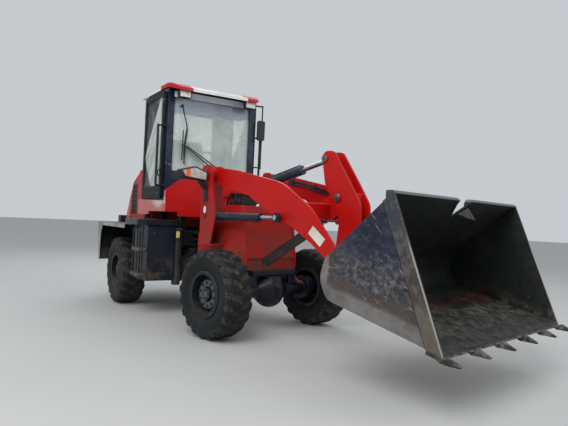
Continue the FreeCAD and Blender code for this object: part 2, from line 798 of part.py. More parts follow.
def make_platforms():
    """Rounded covers over both tanks, with a filler cap on each."""
    covers = Piece("side_platforms")
    low = "tank_high + platform_gap"
    for side in BOTH:
        plan = rounded([
            (-d.fender_front + 2, side * (d.rail_outer + 96)),
            (-d.tank_front + 22, side * (d.rail_outer + 96), 40),
            (-d.tank_front + 22, side * d.platform_outer, 90),
            (-d.fender_front + 2, side * d.platform_outer),
        ][::side])
        covers.slab("XY", plan, low, f"{low} + platform_plate")
        cap = disc(-d.fender_front + 120, side * (d.tank_outer - 110), 42)
        covers.slab("XY", cap, f"{low} + platform_plate - 2", f"{low} + platform_plate + 24")


def make_filter():
    """An upright filter in the right tank's niche, on a foot bracket."""
    middle = d.filter_radius + 8
    x = -d.tank_front - middle
    y = -d.rail_outer - d.filter_niche + middle
    can = Piece("oil_filter", place=at(False, x, y, 0))
    body = rounded([
        (0, d.filter_low),
        (d.filter_radius, d.filter_low, 12),
        (d.filter_radius, d.filter_high - 30, 6),
        (d.filter_radius + 5, d.filter_high - 30),
        (d.filter_radius + 5, d.filter_high, 14),
        (0, d.filter_high),
    ])
    can.turn("XZ", body)
    for level in (d.filter_low + 150, d.filter_high - 180):
        strap = box(-24, 24, -middle + 0.3, 0)
        can.slab("XY", strap, f"{level}", f"{level} + 30")


def make_steps():
    """Two treads on upright bars at each side, bolted to the tank's outer face."""
    steps = Piece("steps")
    for side in BOTH:
        for index in range(2):
            low = d.tread_low + index * d.tread_rise
            tread = box(-d.tread_length - 60, -60, low, low + d.tread_plate, 6)
            steps.slab("XZ", tread, *span(side, "tank_outer", "tread_outer"))
        for behind in (60, d.tread_length + 36):
            bar = box(-behind - 24, -behind, d.tread_low, d.tank_high - 60)
            steps.slab("XZ", bar, *span(side, "tread_outer - 26", "tread_outer - 8"))


# Cab: floor and cowl, frame with its window openings, roof, glass and furniture.

def cab_plan(wall=0):
    """The cab from above, with its rear corners cut; a wall moves it inwards."""
    corners = [
        (-d.cab_rear, -d.cab_half + d.cab_cut_wide),
        (-d.cab_rear + d.cab_cut_long, -d.cab_half),
        (-d.cab_front, -d.cab_half),
        (-d.cab_front, d.cab_half),
        (-d.cab_rear + d.cab_cut_long, d.cab_half),
        (-d.cab_rear, d.cab_half - d.cab_cut_wide),
    ]
    return inset(corners, [wall] * 6) if wall else corners


def make_cab_base():
    base = Piece("cab_base")
    base.slab("XY", rounded(cab_plan()), "cab_floor", "cab_floor + floor_plate")
    half = d.cab_half
    drop = d.cowl_drop_half
    lower = [
        (-half, d.cab_floor),
        (-drop, d.cab_floor),
        (-drop, d.cowl_drop, 12),
        (drop, d.cowl_drop, 12),
        (drop, d.cab_floor),
        (half, d.cab_floor),
    ]
    upper = [
        (half, d.cowl_side_high, 10),
        (d.cowl_shoulder, d.cowl_high, 60),
        (-d.cowl_shoulder, d.cowl_high, 60),
        (-half, d.cowl_side_high, 10),
    ]
    crease = [(half, d.cowl_crease), (-half, d.cowl_crease)]
    base.slab("YZ", rounded(lower + upper), "-cab_front", "cowl_plate - cab_front")
    base.slab("YZ", rounded(lower + crease), "cowl_plate - cab_front", "cowl_plate + cowl_fold - cab_front")
    front = d.cowl_plate - d.cab_front
    sill = rounded([
        (-d.cab_rear + 13, d.sill_low),
        (-d.sill_step, d.sill_low, 10),
        (-d.sill_step + 30, d.cab_floor),
        (front, d.cab_floor),
        (front, d.cowl_crease, 8),
        (-d.cab_rear + d.cab_cut_long + 10, d.sill_high),
        (-d.cab_rear + 13, d.sill_high, 10),
    ])
    base.slabs(sill, "cab_half", "cab_half + sill_plate")


def make_cab_frame():
    """A hollow box of pillars and rails, open at the screen, doors and rear windows."""
    frame = Piece("cab_frame")
    low = d.cab_floor + d.floor_plate
    frame.slab("XY", rounded(cab_plan()), "cab_floor + floor_plate", "cab_top")
    frame.cut("XY", rounded(cab_plan(d.cab_wall)), "cab_floor - 10", "cab_top + 10")
    screen = box(-d.screen_half, d.screen_half, d.screen_low, d.screen_high, 40)
    frame.cut("YZ", screen, "-cab_front - cab_wall - 10", "10 - cab_front")
    frame.cut("YZ", rear_window(), "-cab_rear - 10", "cab_wall + 10 - cab_rear")
    door = box(-d.door_rear + 20, -d.door_front - 20, d.door_low + 20, d.door_high - 20, 40)
    frame.cut("XZ", door, "-cab_half - 10", "cab_half + 10")
    for side in BOTH:
        for level in (d.door_low + 120, d.door_high - 240):
            hinge_bracket(frame, side, level)
    grab_handle(frame)
    return frame


def rear_window():
    reach = d.cab_half - d.cab_cut_wide - 50
    return box(-reach, reach, 1830, d.cab_top - 110, 40)


def hinge_y(side):
    return side * (d.cab_half + d.side_gap + d.door_plate / 2)


def hinge_bracket(frame, side, level):
    """Two ears and an upright pin for one door hinge."""
    x = -d.door_rear - d.hinge_radius - 3
    y = hinge_y(side)
    wall = side * (d.cab_half - 5)
    ear = rounded([
        (x - 12, wall),
        (x + 12, wall),
        (x + 12, y + side * 12, 10),
        (x - 12, y + side * 12, 10),
    ][::side])
    frame.slab("XY", ear, f"{level}", f"{level} + 10")
    frame.slab("XY", ear, f"{level} + 12 + hinge_tall", f"{level} + 22 + hinge_tall")
    frame.slab("XY", disc(x, y, d.hinge_pin), f"{level}", f"{level} + 22 + hinge_tall")


def grab_handle(frame):
    """An upright handle beside each door on the screen pillar."""
    for side in BOTH:
        out = side * (d.cab_half + d.handle_out)
        x = -d.handle_ahead
        frame.slab("XY", disc(x, out, d.handle_bar), "handle_low", "handle_high")
        for level in (d.handle_low + 14, d.handle_high - 14):
            frame.slab("XZ", disc(x, level, d.handle_bar - 1), *span(side, "cab_half - 5", "cab_half + handle_out"))


def roof_outline(rise):
    """The roof's section along the cab: level, then a visor that drops in front."""
    return rounded([
        (-d.roof_rear, d.cab_top),
        (-d.cab_front, d.cab_top),
        (d.roof_front, d.cab_top - d.roof_drop),
        (d.roof_front, d.cab_top - d.roof_drop + 36, 8),
        (-d.cab_front + 40, d.cab_top + d.roof_plate - rise, 60),
        (-d.roof_rear + d.roof_edge, d.cab_top + d.roof_plate - rise, 20),
        (-d.roof_rear, d.cab_top + 16),
    ])


def cap_plan(side, gap):
    """A front corner of the roof from above, taken further in by a gap."""
    far = d.roof_half + 5
    near = d.roof_half - d.cap_width - gap
    back = d.roof_front - d.cap_length - gap
    return rounded([
        (d.roof_front + 5, side * near),
        (d.roof_front + 5, side * far),
        (back, side * far),
        (back, side * (far - 130)),
        (d.roof_front - 260, side * near),
    ][::side])


def corner_cuts(roof):
    """Cut corners and side slopes, the same for the roof and its caps."""
    for side in BOTH:
        corner = rounded([
            (d.roof_front + 5, side * (d.roof_half + 5)),
            (d.roof_front + 5, side * (d.roof_half - 90)),
            (d.roof_front - 240, side * (d.roof_half + 5)),
        ][::-side])
        roof.cut("XY", corner, "cab_top - roof_drop - 5", "cab_top + roof_plate + 5")


def make_roof():
    """A pale roof with red caps at its front corners."""
    roof = Piece("cab_roof")
    roof.slab("XZ", roof_outline(d.roof_step), "-roof_half", "roof_half")
    for side in BOTH:
        roof.cut("XY", cap_plan(side, 0.3), "cab_top - roof_drop - 5", "cab_top + roof_plate + 5")
        slope = rounded([
            (side * (d.roof_half + 5), d.cab_top + 12),
            (side * (d.roof_half + 5), d.cab_top + d.roof_plate + 5),
            (side * (d.roof_half - d.roof_edge), d.cab_top + d.roof_plate + 5),
        ][::side])
        roof.cut("YZ", slope, "-roof_rear - 5", "roof_front + 5")
    caps = Piece("roof_caps")
    caps.slab("XZ", roof_outline(0), "-roof_half", "roof_half")
    middle = rounded([
        (-d.roof_rear - 5, -d.roof_half - 5),
        (d.roof_front - d.cap_length, -d.roof_half - 5),
        (d.roof_front - d.cap_length, -d.roof_half + 125),
        (d.roof_front - 260, -d.roof_half + d.cap_width),
        (d.roof_front + 5, -d.roof_half + d.cap_width),
        (d.roof_front + 5, d.roof_half - d.cap_width),
        (d.roof_front - 260, d.roof_half - d.cap_width),
        (d.roof_front - d.cap_length, d.roof_half - 125),
        (d.roof_front - d.cap_length, d.roof_half + 5),
        (-d.roof_rear - 5, d.roof_half + 5),
    ])
    caps.cut("XY", middle, "cab_top - roof_drop - 5", "cab_top + roof_plate + 5")
    corner_cuts(caps)


def make_glass():
    screen = Piece("windscreen")
    pane = box(-d.screen_half, d.screen_half, d.screen_low, d.screen_high, 40)
    screen.slab("YZ", pane, "-cab_front - cab_wall/2 - pane", "-cab_front - cab_wall/2")
    glass = Piece("cab_glass")
    glass.slab("YZ", rear_window(), "cab_wall/2 - cab_rear", "cab_wall/2 + pane - cab_rear")


def make_door(side):
    name = SIDE_NAMES[side]
    near = "cab_half + side_gap"
    door = Piece(f"door_{name}")
    frame_outline = box(-d.door_rear, -d.door_front, d.door_low, d.door_high, 40)
    opening = box(-d.door_rear + d.door_rim, -d.door_front - d.door_rim, d.door_pane_low, d.door_high - d.door_rim, 30)
    door.slab("XZ", frame_outline, *span(side, near, f"{near} + door_plate"), [opening])
    x = -d.door_rear - d.hinge_radius - 3
    y = hinge_y(side)
    for level in (d.door_low + 120, d.door_high - 240):
        ring = disc(x, y, d.hinge_radius)
        bore = disc(x, y, d.hinge_pin + d.running_gap)
        door.slab("XY", ring, f"{level} + 11", f"{level} + 11 + hinge_tall", [bore])
        strap = box(x + d.hinge_radius - 3, -d.door_rear + 6, y - 6, y + 6)
        door.slab("XY", strap, f"{level} + 11", f"{level} + 11 + hinge_tall")
    glass = Piece(f"door_glass_{name}")
    glass.slab("XZ", opening, *span(side, f"{near} + 14", f"{near} + 14 + pane"))


def make_seat():
    seat = Piece("seat")
    half = "seat_width/2"
    front = -d.seat_back + d.seat_depth
    base = box(-d.seat_back + 60, front - 60, d.cab_floor + d.floor_plate, d.seat_high - 120, 10)
    seat.slab("XZ", base, "-150", "150")
    cushion = rounded([
        (-d.seat_back + 30, d.seat_high - 120, 20),
        (front, d.seat_high - 120, 40),
        (front, d.seat_high, 50),
        (-d.seat_back + 120, d.seat_high - 10, 20),
        (-d.seat_back + 60, d.seat_back_high, 50),
        (-d.seat_back - 40, d.seat_back_high, 40),
    ])
    seat.slab("XZ", cushion, "-seat_width/2", "seat_width/2")


def make_console():
    """The steering column's housing, with the wheel square to its slanted top."""
    floor = d.cab_floor + d.floor_plate
    near = -d.console_ahead
    far = near - d.console_length
    drop = d.console_length * math.tan(math.radians(d.column_slope))
    console = Piece("steering_console")
    outline = rounded([
        (far, floor),
        (near, floor),
        (near, d.console_high),
        (far, d.console_high - drop),
    ])
    console.slab("XZ", outline, "-console_width/2", "console_width/2")
    tilt = Rotation(Vector(0, 1, 0), -d.column_slope)
    middle = (near + far) / 2
    wheel = Piece("steering_wheel", place=at(False, middle, 0, d.console_high - drop / 2, tilt))
    rim = d.wheel_rim
    wheel.turn("XZ", disc(rim, 150, 15))
    wheel.slab("XY", disc(0, 0, 24), "0.3", "148")
    for turn in range(3):
        angle = math.radians(120 * turn + 90)
        across = (-math.sin(angle) * 14, math.cos(angle) * 14)
        along = (math.cos(angle) * (rim - 8), math.sin(angle) * (rim - 8))
        spoke = rounded([
            (across[0], across[1]),
            (-across[0], -across[1]),
            (along[0] - across[0], along[1] - across[1]),
            (along[0] + across[0], along[1] + across[1]),
        ])
        wheel.slab("XY", spoke, "136", "148")


def make_mirror():
    """The left mirror on its long tube; the right one is missing from the real machine."""
    mirror = Piece("mirror_left")
    front = -d.cab_front
    x = front + 32
    half = d.cab_half
    arm = rounded([
        (front, half - 44),
        (front + 12, half - 44),
        (x + 9, half + 74),
        (x + 9, half + 101, 6),
        (x - 9, half + 101, 6),
        (front, half - 4),
    ])
    for level in (60, 840):
        mirror.slab("XY", arm, f"cab_top - {level}", f"cab_top - {level} + 16")
    mirror.slab("XY", disc(x, half + 92, 9), "cab_top - 850", "cab_top - 40")
    head = box(d.cab_half + 16, d.cab_half + 116, d.cab_top - 490, d.cab_top - 240, 24)
    mirror.slab("YZ", head, f"{x} + 8", f"{x} + 38")


def make_roof_lamps():
    lamps = Piece("work_lamps")
    for side in BOTH:
        inner = side * d.roof_lamp_side
        outer = side * (d.roof_lamp_side + d.roof_lamp_width)
        low, high = min(inner, outer), max(inner, outer)
        top = d.cab_top - d.roof_drop * (d.cab_front + 52) / (d.cab_front + d.roof_front) - 0.3
        face = box(low, high, top - d.roof_lamp_height, top, 12)
        lamps.slab("YZ", face, "0", "52")


# Front frame: side plates, tower, cover and the front half of the articulation.

def make_front_frame():
    frame = Piece("front_frame", front=True)
    inner = rounded([
        (d.frame_rear, d.frame_low),
        (d.frame_nose, d.frame_low),
        (d.frame_nose + 4, 763, 40),
        (1030, d.cover_high - 60, 20),
        (1000, d.cover_high, 20),
        (690, d.cover_high, 40),
        (648, 1480, 60),
        (652, d.tower_top, 50),
        (500, d.tower_top, 50),
        (460, 1278, 60),
        (434, 960, 40),
        (d.frame_rear, 960),
    ])
    frame.slabs(inner, "inner_face", "inner_face + inner_plate")
    outer = rounded([
        (512, d.tower_ledge),
        (701, d.tower_ledge, 20),
        (772, 1160, 160),
        (752, 1300, 160),
        (705, 1460, 60),
        (684, d.tower_top, 50),
        (504, d.tower_top, 50),
    ])
    slot = box(d.boom_pivot_x - 5, d.boom_pivot_x + 55, d.slot_low, d.slot_high, 10)
    frame.slabs(outer, "outer_face", "outer_face + outer_plate", [slot])
    ledge = box(480, 740, d.tower_ledge - 12, d.tower_ledge)
    frame.slabs(ledge, "inner_face + inner_plate", "outer_face + outer_plate")
    back = box(514, 526, d.tower_ledge, 1110)
    frame.slabs(back, "inner_face + inner_plate", "outer_face")
    pin = disc(d.boom_pivot_x, d.boom_pivot_z, d.boom_pin)
    frame.slabs(pin, "inner_face", "outer_face + outer_plate + 14")
    foot = disc(d.lift_foot_x, d.lift_foot_z, d.lift_pin)
    frame.slabs(foot, "inner_face", "outer_face + outer_plate + 10")
    cover = rounded([
        (d.frame_nose - 34, d.frame_low),
        (d.frame_nose - 22, d.frame_low),
        (d.frame_nose - 14, 763, 40),
        (1012, d.cover_high - 60, 30),
        (985, d.cover_high, 20),
        (700, d.cover_high),
        (700, d.cover_high - 12),
        (978, d.cover_high - 12, 10),
        (1000, d.cover_high - 60, 20),
        (d.frame_nose - 28, 763, 30),
    ])
    frame.slab("XZ", cover, "-inner_face", "inner_face")
    floor = box(d.frame_rear, d.frame_nose, d.frame_low, d.frame_low + 14)
    frame.slab("XZ", floor, "-inner_face", "inner_face")
    shelf = box(d.frame_nose - 40, d.frame_nose, 755, 767)
    frame.slab("XZ", shelf, "-inner_face", "inner_face")
    low = d.knuckle_low - d.knuckle_inner / 2 - 20
    wall = box(-d.inner_face - d.inner_plate, d.inner_face + d.inner_plate, low, 960)
    frame.slab("YZ", wall, "frame_rear", "frame_rear + 14")
    shelf = box(470, 650, 1366, 1380)
    frame.slab("XZ", shelf, "-inner_face", "inner_face")
    lug = rounded([
        (d.tilt_foot_x - 90, 1380),
        (d.tilt_foot_x + 50, 1380),
        (d.tilt_foot_x + 62, d.tilt_foot_z + 40, 50),
        (d.tilt_foot_x - 62, d.tilt_foot_z + 40, 50),
    ])
    frame.slabs(lug, "35", "53")
    frame.slab("XZ", disc(d.tilt_foot_x, d.tilt_foot_z, d.tilt_pin), "-62", "62")
    back_x = -d.knuckle_radius
    knuckle_plan = rounded([
        (back_x, -d.knuckle_radius, d.knuckle_radius * 0.95),
        (d.frame_rear, -190),
        (d.frame_rear, 190),
        (back_x, d.knuckle_radius, d.knuckle_radius * 0.95),
    ])
    bore = disc(0, 0, d.knuckle_pin + d.running_gap)
    for level in ("knuckle_low", "knuckle_high"):
        frame.slab("XY", knuckle_plan, f"{level} - knuckle_inner/2", f"{level} + knuckle_inner/2", [bore])
    for side in BOTH:
        ear = rounded([
            (d.frame_rear, side * (d.steer_eye_side - 50)),
            (d.frame_rear, side * (d.steer_eye_side + 50)),
            (d.steer_eye_ahead - 36, side * (d.steer_eye_side + 36), 34),
            (d.steer_eye_ahead - 36, side * (d.steer_eye_side - 36), 34),
        ][::side])
        frame.slab("XY", ear, "steer_level + 26", "steer_level + 40")
        frame.slab("XY", ear, "steer_level - 40", "steer_level - 26")
        cap = disc(d.steer_eye_ahead, side * d.steer_eye_side, 22)
        frame.slab("XY", cap, "steer_level + 40", "steer_level + 48")
        frame.slab("XY", cap, "steer_level - 48", "steer_level - 40")
    return frame


def make_headlamps():
    """A slanted lamp box outside each tower head, on a bent bracket."""
    lamps = Piece("headlamps", front=True)
    for side in BOTH:
        face = rounded([
            (side * d.headlamp_inner, d.headlamp_low, 20),
            (side * (d.headlamp_outer - 40), d.headlamp_low + 24, 30),
            (side * d.headlamp_outer, d.headlamp_high - 50, 20),
            (side * (d.headlamp_inner + 150), d.headlamp_high, 40),
            (side * d.headlamp_inner, d.headlamp_high - 52, 20),
        ][::side])
        lamps.slab("YZ", face, "headlamp_ahead", "headlamp_ahead + headlamp_depth")
        bracket = rounded([
            (side * (d.outer_face + d.outer_plate), 1320),
            (side * (d.outer_face + d.outer_plate + 14), 1320),
            (side * (d.outer_face + d.outer_plate + 14), 1440, 10),
            (side * (d.headlamp_inner + 120), d.headlamp_low + 12, 20),
            (side * (d.headlamp_inner + 40), d.headlamp_low + 14),
            (side * (d.outer_face + d.outer_plate), 1470, 20),
        ][::side])
        lamps.slab("YZ", bracket, "headlamp_ahead + 14", "headlamp_ahead + 64")


# Boom: two arms, the cross beam with its horns, and the safety strut.

def make_arms():
    arms = Piece("lift_arms", front=True)
    outline = rounded([
        (d.bucket_hinge_x + 45, d.bucket_hinge_z - 88, 66),
        (d.bucket_hinge_x + 88, d.bucket_hinge_z + 34, 66),
        (2290, 975, 60),
        (2010, 1276, 420),
        (1640, 1503, 600),
        (960, 1640, 300),
        (500, d.boom_pivot_z + 86, 76),
        (498, d.boom_pivot_z - 84, 76),
        (880, 1446, 160),
        (1160, 1388, 220),
        (1366, 1282, 120),
        (1570, 1190, 60),
        (1748, 1125, 60),
        (2043, 968, 160),
        (2290, 796, 60),
    ])
    boom_bore = disc(d.boom_pivot_x, d.boom_pivot_z, d.boom_pin + d.running_gap)
    hinge_bore = disc(d.bucket_hinge_x, d.bucket_hinge_z, d.bucket_pin + d.running_gap)
    arms.slabs(outline, "arm_inner", "arm_inner + arm_plate", [boom_bore, hinge_bore])
    hub = disc(d.boom_pivot_x, d.boom_pivot_z, d.boom_hub)
    arms.slabs(hub, "inner_face + inner_plate + side_gap", "arm_inner", [boom_bore])
    arms.slabs(hub, "arm_inner + arm_plate", "outer_face - side_gap", [boom_bore])
    beam = box(d.beam_rear, d.beam_rear + d.beam_length, d.beam_low, d.beam_high, 18)
    arms.slab("XZ", beam, "-arm_inner", "arm_inner")
    horn = rounded([
        (d.beam_rear + 10, d.beam_low + 10),
        (d.beam_rear + d.beam_length, d.beam_low + 10),
        (d.crank_pivot_x + 60, d.crank_pivot_z - 100, 60),
        (d.crank_pivot_x + 72, d.crank_pivot_z + 64, 64),
        (d.crank_pivot_x - 64, d.crank_pivot_z + 64, 64),
        (d.beam_rear + 20, d.beam_high + 10, 30),
    ])
    arms.slabs(horn, "horn_inner", "horn_inner + horn_plate")
    pin = disc(d.crank_pivot_x, d.crank_pivot_z, d.crank_pin)
    arms.slab("XZ", pin, "-crank_inner - crank_plate - 16", "crank_inner + crank_plate + 16")
    ear = disc(d.lift_eye_x, d.lift_eye_z, d.lift_eye - 4)
    arms.slabs(ear, "arm_inner", "lift_side - lift_eye_half - 0.3")
    return arms


def bent_pipe(points, wide):
    """A band of even width along a bent line, for a pipe lying in the XZ plane."""
    left, right = [], []
    for index, point in enumerate(points):
        before = points[max(index - 1, 0)]
        after = points[min(index + 1, len(points) - 1)]
        du, dv = unit(after[0] - before[0], after[1] - before[1])
        left.append((point[0] - dv * wide / 2, point[1] + du * wide / 2))
        right.append((point[0] + dv * wide / 2, point[1] - du * wide / 2))
    return rounded(left[::-1] + right)


def make_boom_pipes():
    """Two pipes along the inside of each arm, from the pivot to the cross beam."""
    pipes = Piece("boom_pipes", front=True)
    line = [(900, 1604), (1180, 1566), (1440, 1492), (1660, 1420), (d.beam_rear + 30, d.beam_high + 58)]
    for drop in (0, 34):
        run = bent_pipe([(x, z - drop) for x, z in line], d.pipe)
        pipes.slabs(run, "arm_inner - pipe - 6.3", "arm_inner - 6.3")
    for x, z in ((960, 1579), (1300, 1517)):
        clip = box(x, x + 26, z - 34, z + 34)
        pipes.slabs(clip, "arm_inner - pipe - 10", "arm_inner - 0.3")


def make_valve():
    """The valve block on the front cover, its spool caps and the hoses into the frame."""
    valve = Piece("control_valve", front=True)
    body = box(d.valve_rear, d.valve_front, d.cover_high + 0.3, d.cover_high + d.valve_rise, 6)
    valve.slab("XZ", body, "-valve_outer", "-valve_inner")
    middle = (d.valve_rear + d.valve_front) / 2
    for x in (d.valve_rear + 32, middle, d.valve_front - 32):
        spool = disc(x, d.cover_high + d.valve_rise / 2, 20)
        valve.slab("XZ", spool, "-valve_outer - 34", "40 - valve_inner")
    top = d.cover_high + d.valve_rise
    hose = bent_pipe([
        (d.valve_rear + 40, top - 12),
        (d.valve_rear + 20, top + 30),
        (d.valve_rear - 30, top + 42),
        (d.valve_rear - 90, top + 10),
        (d.valve_rear - 118, top - 70),
        (d.valve_rear - 122, top - 190),
    ], d.pipe + 5)
    for across in (-300, -255, -210, -165):
        valve.slab("XZ", hose, f"{across} - pipe/2", f"{across} + pipe/2")


def make_strut():
    """The boom safety strut, stowed along the inside of the right arm."""
    strut = Piece("safety_strut", front=True)
    low = (1385, 735)
    high = (1960, 1062)
    du, dv = unit(high[0] - low[0], high[1] - low[1])
    side = d.strut_high / 2
    outline = rounded([
        (low[0] + dv * side, low[1] - du * side, 8),
        (high[0] + dv * side, high[1] - du * side, 8),
        (high[0] - dv * side, high[1] + du * side, 8),
        (low[0] - dv * side, low[1] + du * side, 8),
    ])
    strut.slab("XZ", outline, "-arm_inner", "-inner_face - inner_plate - side_gap")


# Bellcrank, tilt link and bucket.

def make_bellcrank():
    crank = Piece("bellcrank", front=True)
    outline = rounded([
        (d.crank_foot_x - 60, d.crank_foot_z - 62, 60),
        (d.crank_foot_x + 66, d.crank_foot_z - 58, 62),
        (2296, 1120, 160),
        (2286, 1330, 140),
        (2160, 1520, 200),
        (d.crank_top_x + 96, d.crank_top_z + 66, 66),
        (d.crank_top_x - 56, d.crank_top_z + 76, 66),
        (1866, 1500, 160),
        (1990, 1330, 120),
        (2056, 1180, 160),
    ])
    pivot = disc(d.crank_pivot_x, d.crank_pivot_z, d.crank_pin + d.running_gap)
    crank.slabs(outline, "crank_inner", "crank_inner + crank_plate", [pivot])
    web = rounded([
        (2196, 1130),
        (2214, 1130),
        (2214, 1420),
        (2196, 1430),
    ])
    crank.slab("XZ", web, "-crank_inner", "crank_inner")
    foot = disc(d.crank_foot_x, d.crank_foot_z, d.link_pin)
    crank.slab("XZ", foot, "-crank_inner - crank_plate - 12", "crank_inner + crank_plate + 12")
    cap = disc(d.crank_top_x, d.crank_top_z, 34)
    crank.slabs(cap, "crank_inner + crank_plate", "crank_inner + crank_plate + 12")
    return crank


def make_link():
    """The link from the bellcrank's foot to the bucket, with an eye at each end."""
    reach = math.hypot(d.bucket_link_x - d.crank_foot_x, d.bucket_link_z - d.crank_foot_z)
    slope = math.degrees(math.atan2(d.bucket_link_z - d.crank_foot_z, d.bucket_link_x - d.crank_foot_x))
    tilt = Rotation(Vector(0, 1, 0), -slope)
    link = Piece("tilt_link", place=at(True, d.crank_foot_x, 0, d.crank_foot_z, tilt))
    bar = box(d.link_eye * 0.7, reach - d.link_eye * 0.7, -d.link_high / 2, d.link_high / 2)
    bore = disc(0, 0, d.link_pin + d.running_gap)
    link.slab("XZ", disc(0, 0, d.link_eye), "-link_half", "link_half", [bore])
    link.slab("XZ", bar, "-link_half", "link_half")
    link.slab("XZ", disc(reach, 0, d.link_eye - 6), "-link_half", "link_half")
    return link


def bucket_corners():
    """The bucket's side outline, anticlockwise from the lip; its last edge is the mouth."""
    return [
        (d.bucket_lip_x, d.bucket_lip_z),
        (d.bucket_top_x, d.bucket_top_z),
        (2650, 905, 120),
        (2606, 760, 130),
        (2676, 616, 120),
    ]


def make_bucket():
    bucket = Piece("bucket", front=True)
    corners = bucket_corners()
    bucket.slab("XZ", rounded(corners), "-bucket_half", "bucket_half")
    bar = box(d.bucket_top_x - 62, d.bucket_top_x - 4, d.bucket_top_z - 46, d.bucket_top_z + 8, 10)
    bucket.slab("XZ", bar, "bucket_strip - bucket_half", "bucket_half - bucket_strip")
    hinge = d.bucket_hinge_x, d.bucket_hinge_z
    lug = rounded([
        (hinge[0] - 66, hinge[1] - 62, 62),
        (2700, 614),
        (2690, 800),
        (2650, 880),
        (hinge[0] - 70, hinge[1] + 56, 62),
    ])
    gap = d.side_gap
    bucket.slabs(lug, "arm_inner + arm_plate + side_gap", "arm_inner + arm_plate + side_gap + lug_plate")
    bucket.slabs(lug, "arm_inner - side_gap - lug_plate", "arm_inner - side_gap")
    pin = disc(hinge[0], hinge[1], d.bucket_pin)
    bucket.slabs(pin, "arm_inner - side_gap - lug_plate - 8", "arm_inner + arm_plate + side_gap + lug_plate + 8")
    x, z = d.bucket_link_x, d.bucket_link_z
    ear = rounded([
        (2664, 900),
        (2900, 1106),
        (x + 60, z + 72, 30),
        (x - 62, z + 50, 56),
        (x - 56, z - 62, 50),
    ])
    bucket.slabs(ear, "link_half + side_gap", "link_half + side_gap + lug_plate")
    cap = disc(x, z, 32)
    bucket.slabs(cap, "link_half + side_gap + lug_plate", "link_half + side_gap + lug_plate + 10")
    shell = d.bucket_shell
    hollow = inset(corners, [-30, shell, shell, shell, shell])
    bucket.cut("XZ", rounded(hollow), "bucket_side + bucket_strip - bucket_half", "bucket_half - bucket_side - bucket_strip")
    body_side = inset(corners, [d.strip_width, -4, -4, -4, -4])
    for side in BOTH:
        bucket.cut("XZ", rounded(body_side), *span(side, "bucket_half - bucket_strip", "bucket_half + 5"))
    dent = rounded([
        (d.dent_side - 150, d.bucket_top_z + 20),
        (d.dent_side - 110, d.bucket_top_z - 40),
        (d.dent_side, d.bucket_top_z - d.dent_deep, 6),
        (d.dent_side + 60, d.bucket_top_z - 20),
        (d.dent_side + 90, d.bucket_top_z + 20),
    ])
    bucket.cut("YZ", dent, "bucket_top_x - 240", "bucket_top_x + 40")
    return bucket


def make_edge():
    """The cutting edge under the bucket's lip, with its knife-like teeth."""
    edge = Piece("cutting_edge", front=True)
    lip = (d.bucket_lip_x, d.bucket_lip_z)
    heel = bucket_corners()[4]
    du, dv = unit(heel[0] - lip[0], heel[1] - lip[1])
    depth = d.edge_depth
    thick = d.edge_plate
    front = (lip[0] - du * 20, lip[1] - dv * 20)
    back = (lip[0] + du * depth, lip[1] + dv * depth)
    blade = rounded([
        (front[0], front[1]),
        (back[0], back[1]),
        (back[0] - dv * thick, back[1] + du * thick),
        (lip[0] + du * 30 - dv * thick, lip[1] + dv * 30 + du * thick),
    ])
    edge.slab("XZ", blade, "-bucket_half", "bucket_half")
    pitch = (2 * d.bucket_half - d.tooth_width) / (d.teeth - 1)
    reach = d.tooth_reach
    corners = [
        (-reach, 12),
        (-reach, 4),
        (-24, -16),
        (-4, 0),
        (60, 0),
        (60, 20),
        (0, thick + 12),
    ]
    tooth = rounded([
        (lip[0] + du * along - dv * below, lip[1] + dv * along + du * below)
        for along, below in corners
    ])
    for index in range(int(d.teeth)):
        low = f"{index} * (2*bucket_half - tooth_width) / (teeth - 1) - bucket_half"
        edge.slab("XZ", tooth, low, f"{low} + tooth_width")
    return edge


# Hydraulic cylinders, each drawn along its own +X from its rear pin.

def pose_between(front, foot, eye, side):
    """Place and length of a cylinder in an upright plane, from foot to eye."""
    reach = math.hypot(eye[0] - foot[0], eye[1] - foot[1])
    slope = math.degrees(math.atan2(eye[1] - foot[1], eye[0] - foot[0]))
    tilt = Rotation(Vector(0, 1, 0), -slope)
    return at(front, foot[0], side, foot[1], tilt), reach


def make_cylinder(names, place, reach, size, radii, halves, start, tail, pipe=0):
    """A barrel and its rod. The tube starts clear of the lugs and the rod ends at its tail.
    A pipe runs above (1) or below (-1) the barrel to its far port."""
    barrel_radius, rod_radius, pin_radius, eye_radius = radii
    rear_half, eye_half = halves
    barrel = Piece(names[0], place=place)
    bore = disc(0, 0, pin_radius + d.running_gap)
    barrel.slab("XZ", disc(0, 0, pin_radius + 20), f"-{rear_half}", f"{rear_half}", [bore])
    neck = box(pin_radius + 6, start + 4, -pin_radius - 10, pin_radius + 10)
    barrel.slab("XZ", neck, f"-{rear_half}", f"{rear_half}")
    barrel.slab("YZ", disc(0, 0, barrel_radius), f"{start}", f"{size}_body")
    barrel.cut("YZ", disc(0, 0, barrel_radius - 9), f"{start + 20}", f"{size}_body - 40")
    barrel.cut("YZ", disc(0, 0, rod_radius + d.running_gap), f"{size}_body - 60", f"{size}_body + 10")
    if pipe:
        level = pipe * (barrel_radius + 9)
        barrel.slab("YZ", disc(0, level, 7), f"{start + 40}", f"{size}_body - 30")
        for reach_at in (start + 40, getattr(d, size + "_body") - 76):
            port = box(-9, 9, min(level, 0), max(level, 0))
            barrel.slab("YZ", port, f"{reach_at}", f"{reach_at} + 24")
        barrel.cut("YZ", disc(0, 0, barrel_radius - 9), f"{start + 20}", f"{size}_body - 40")
    rod = Piece(names[1], place=place)
    rod.slab("YZ", disc(0, 0, rod_radius), f"{tail}", f"{reach - eye_radius + 6}")
    rod.slab("XZ", disc(reach, 0, eye_radius), f"-{eye_half}", f"{eye_half}")
    return barrel, rod


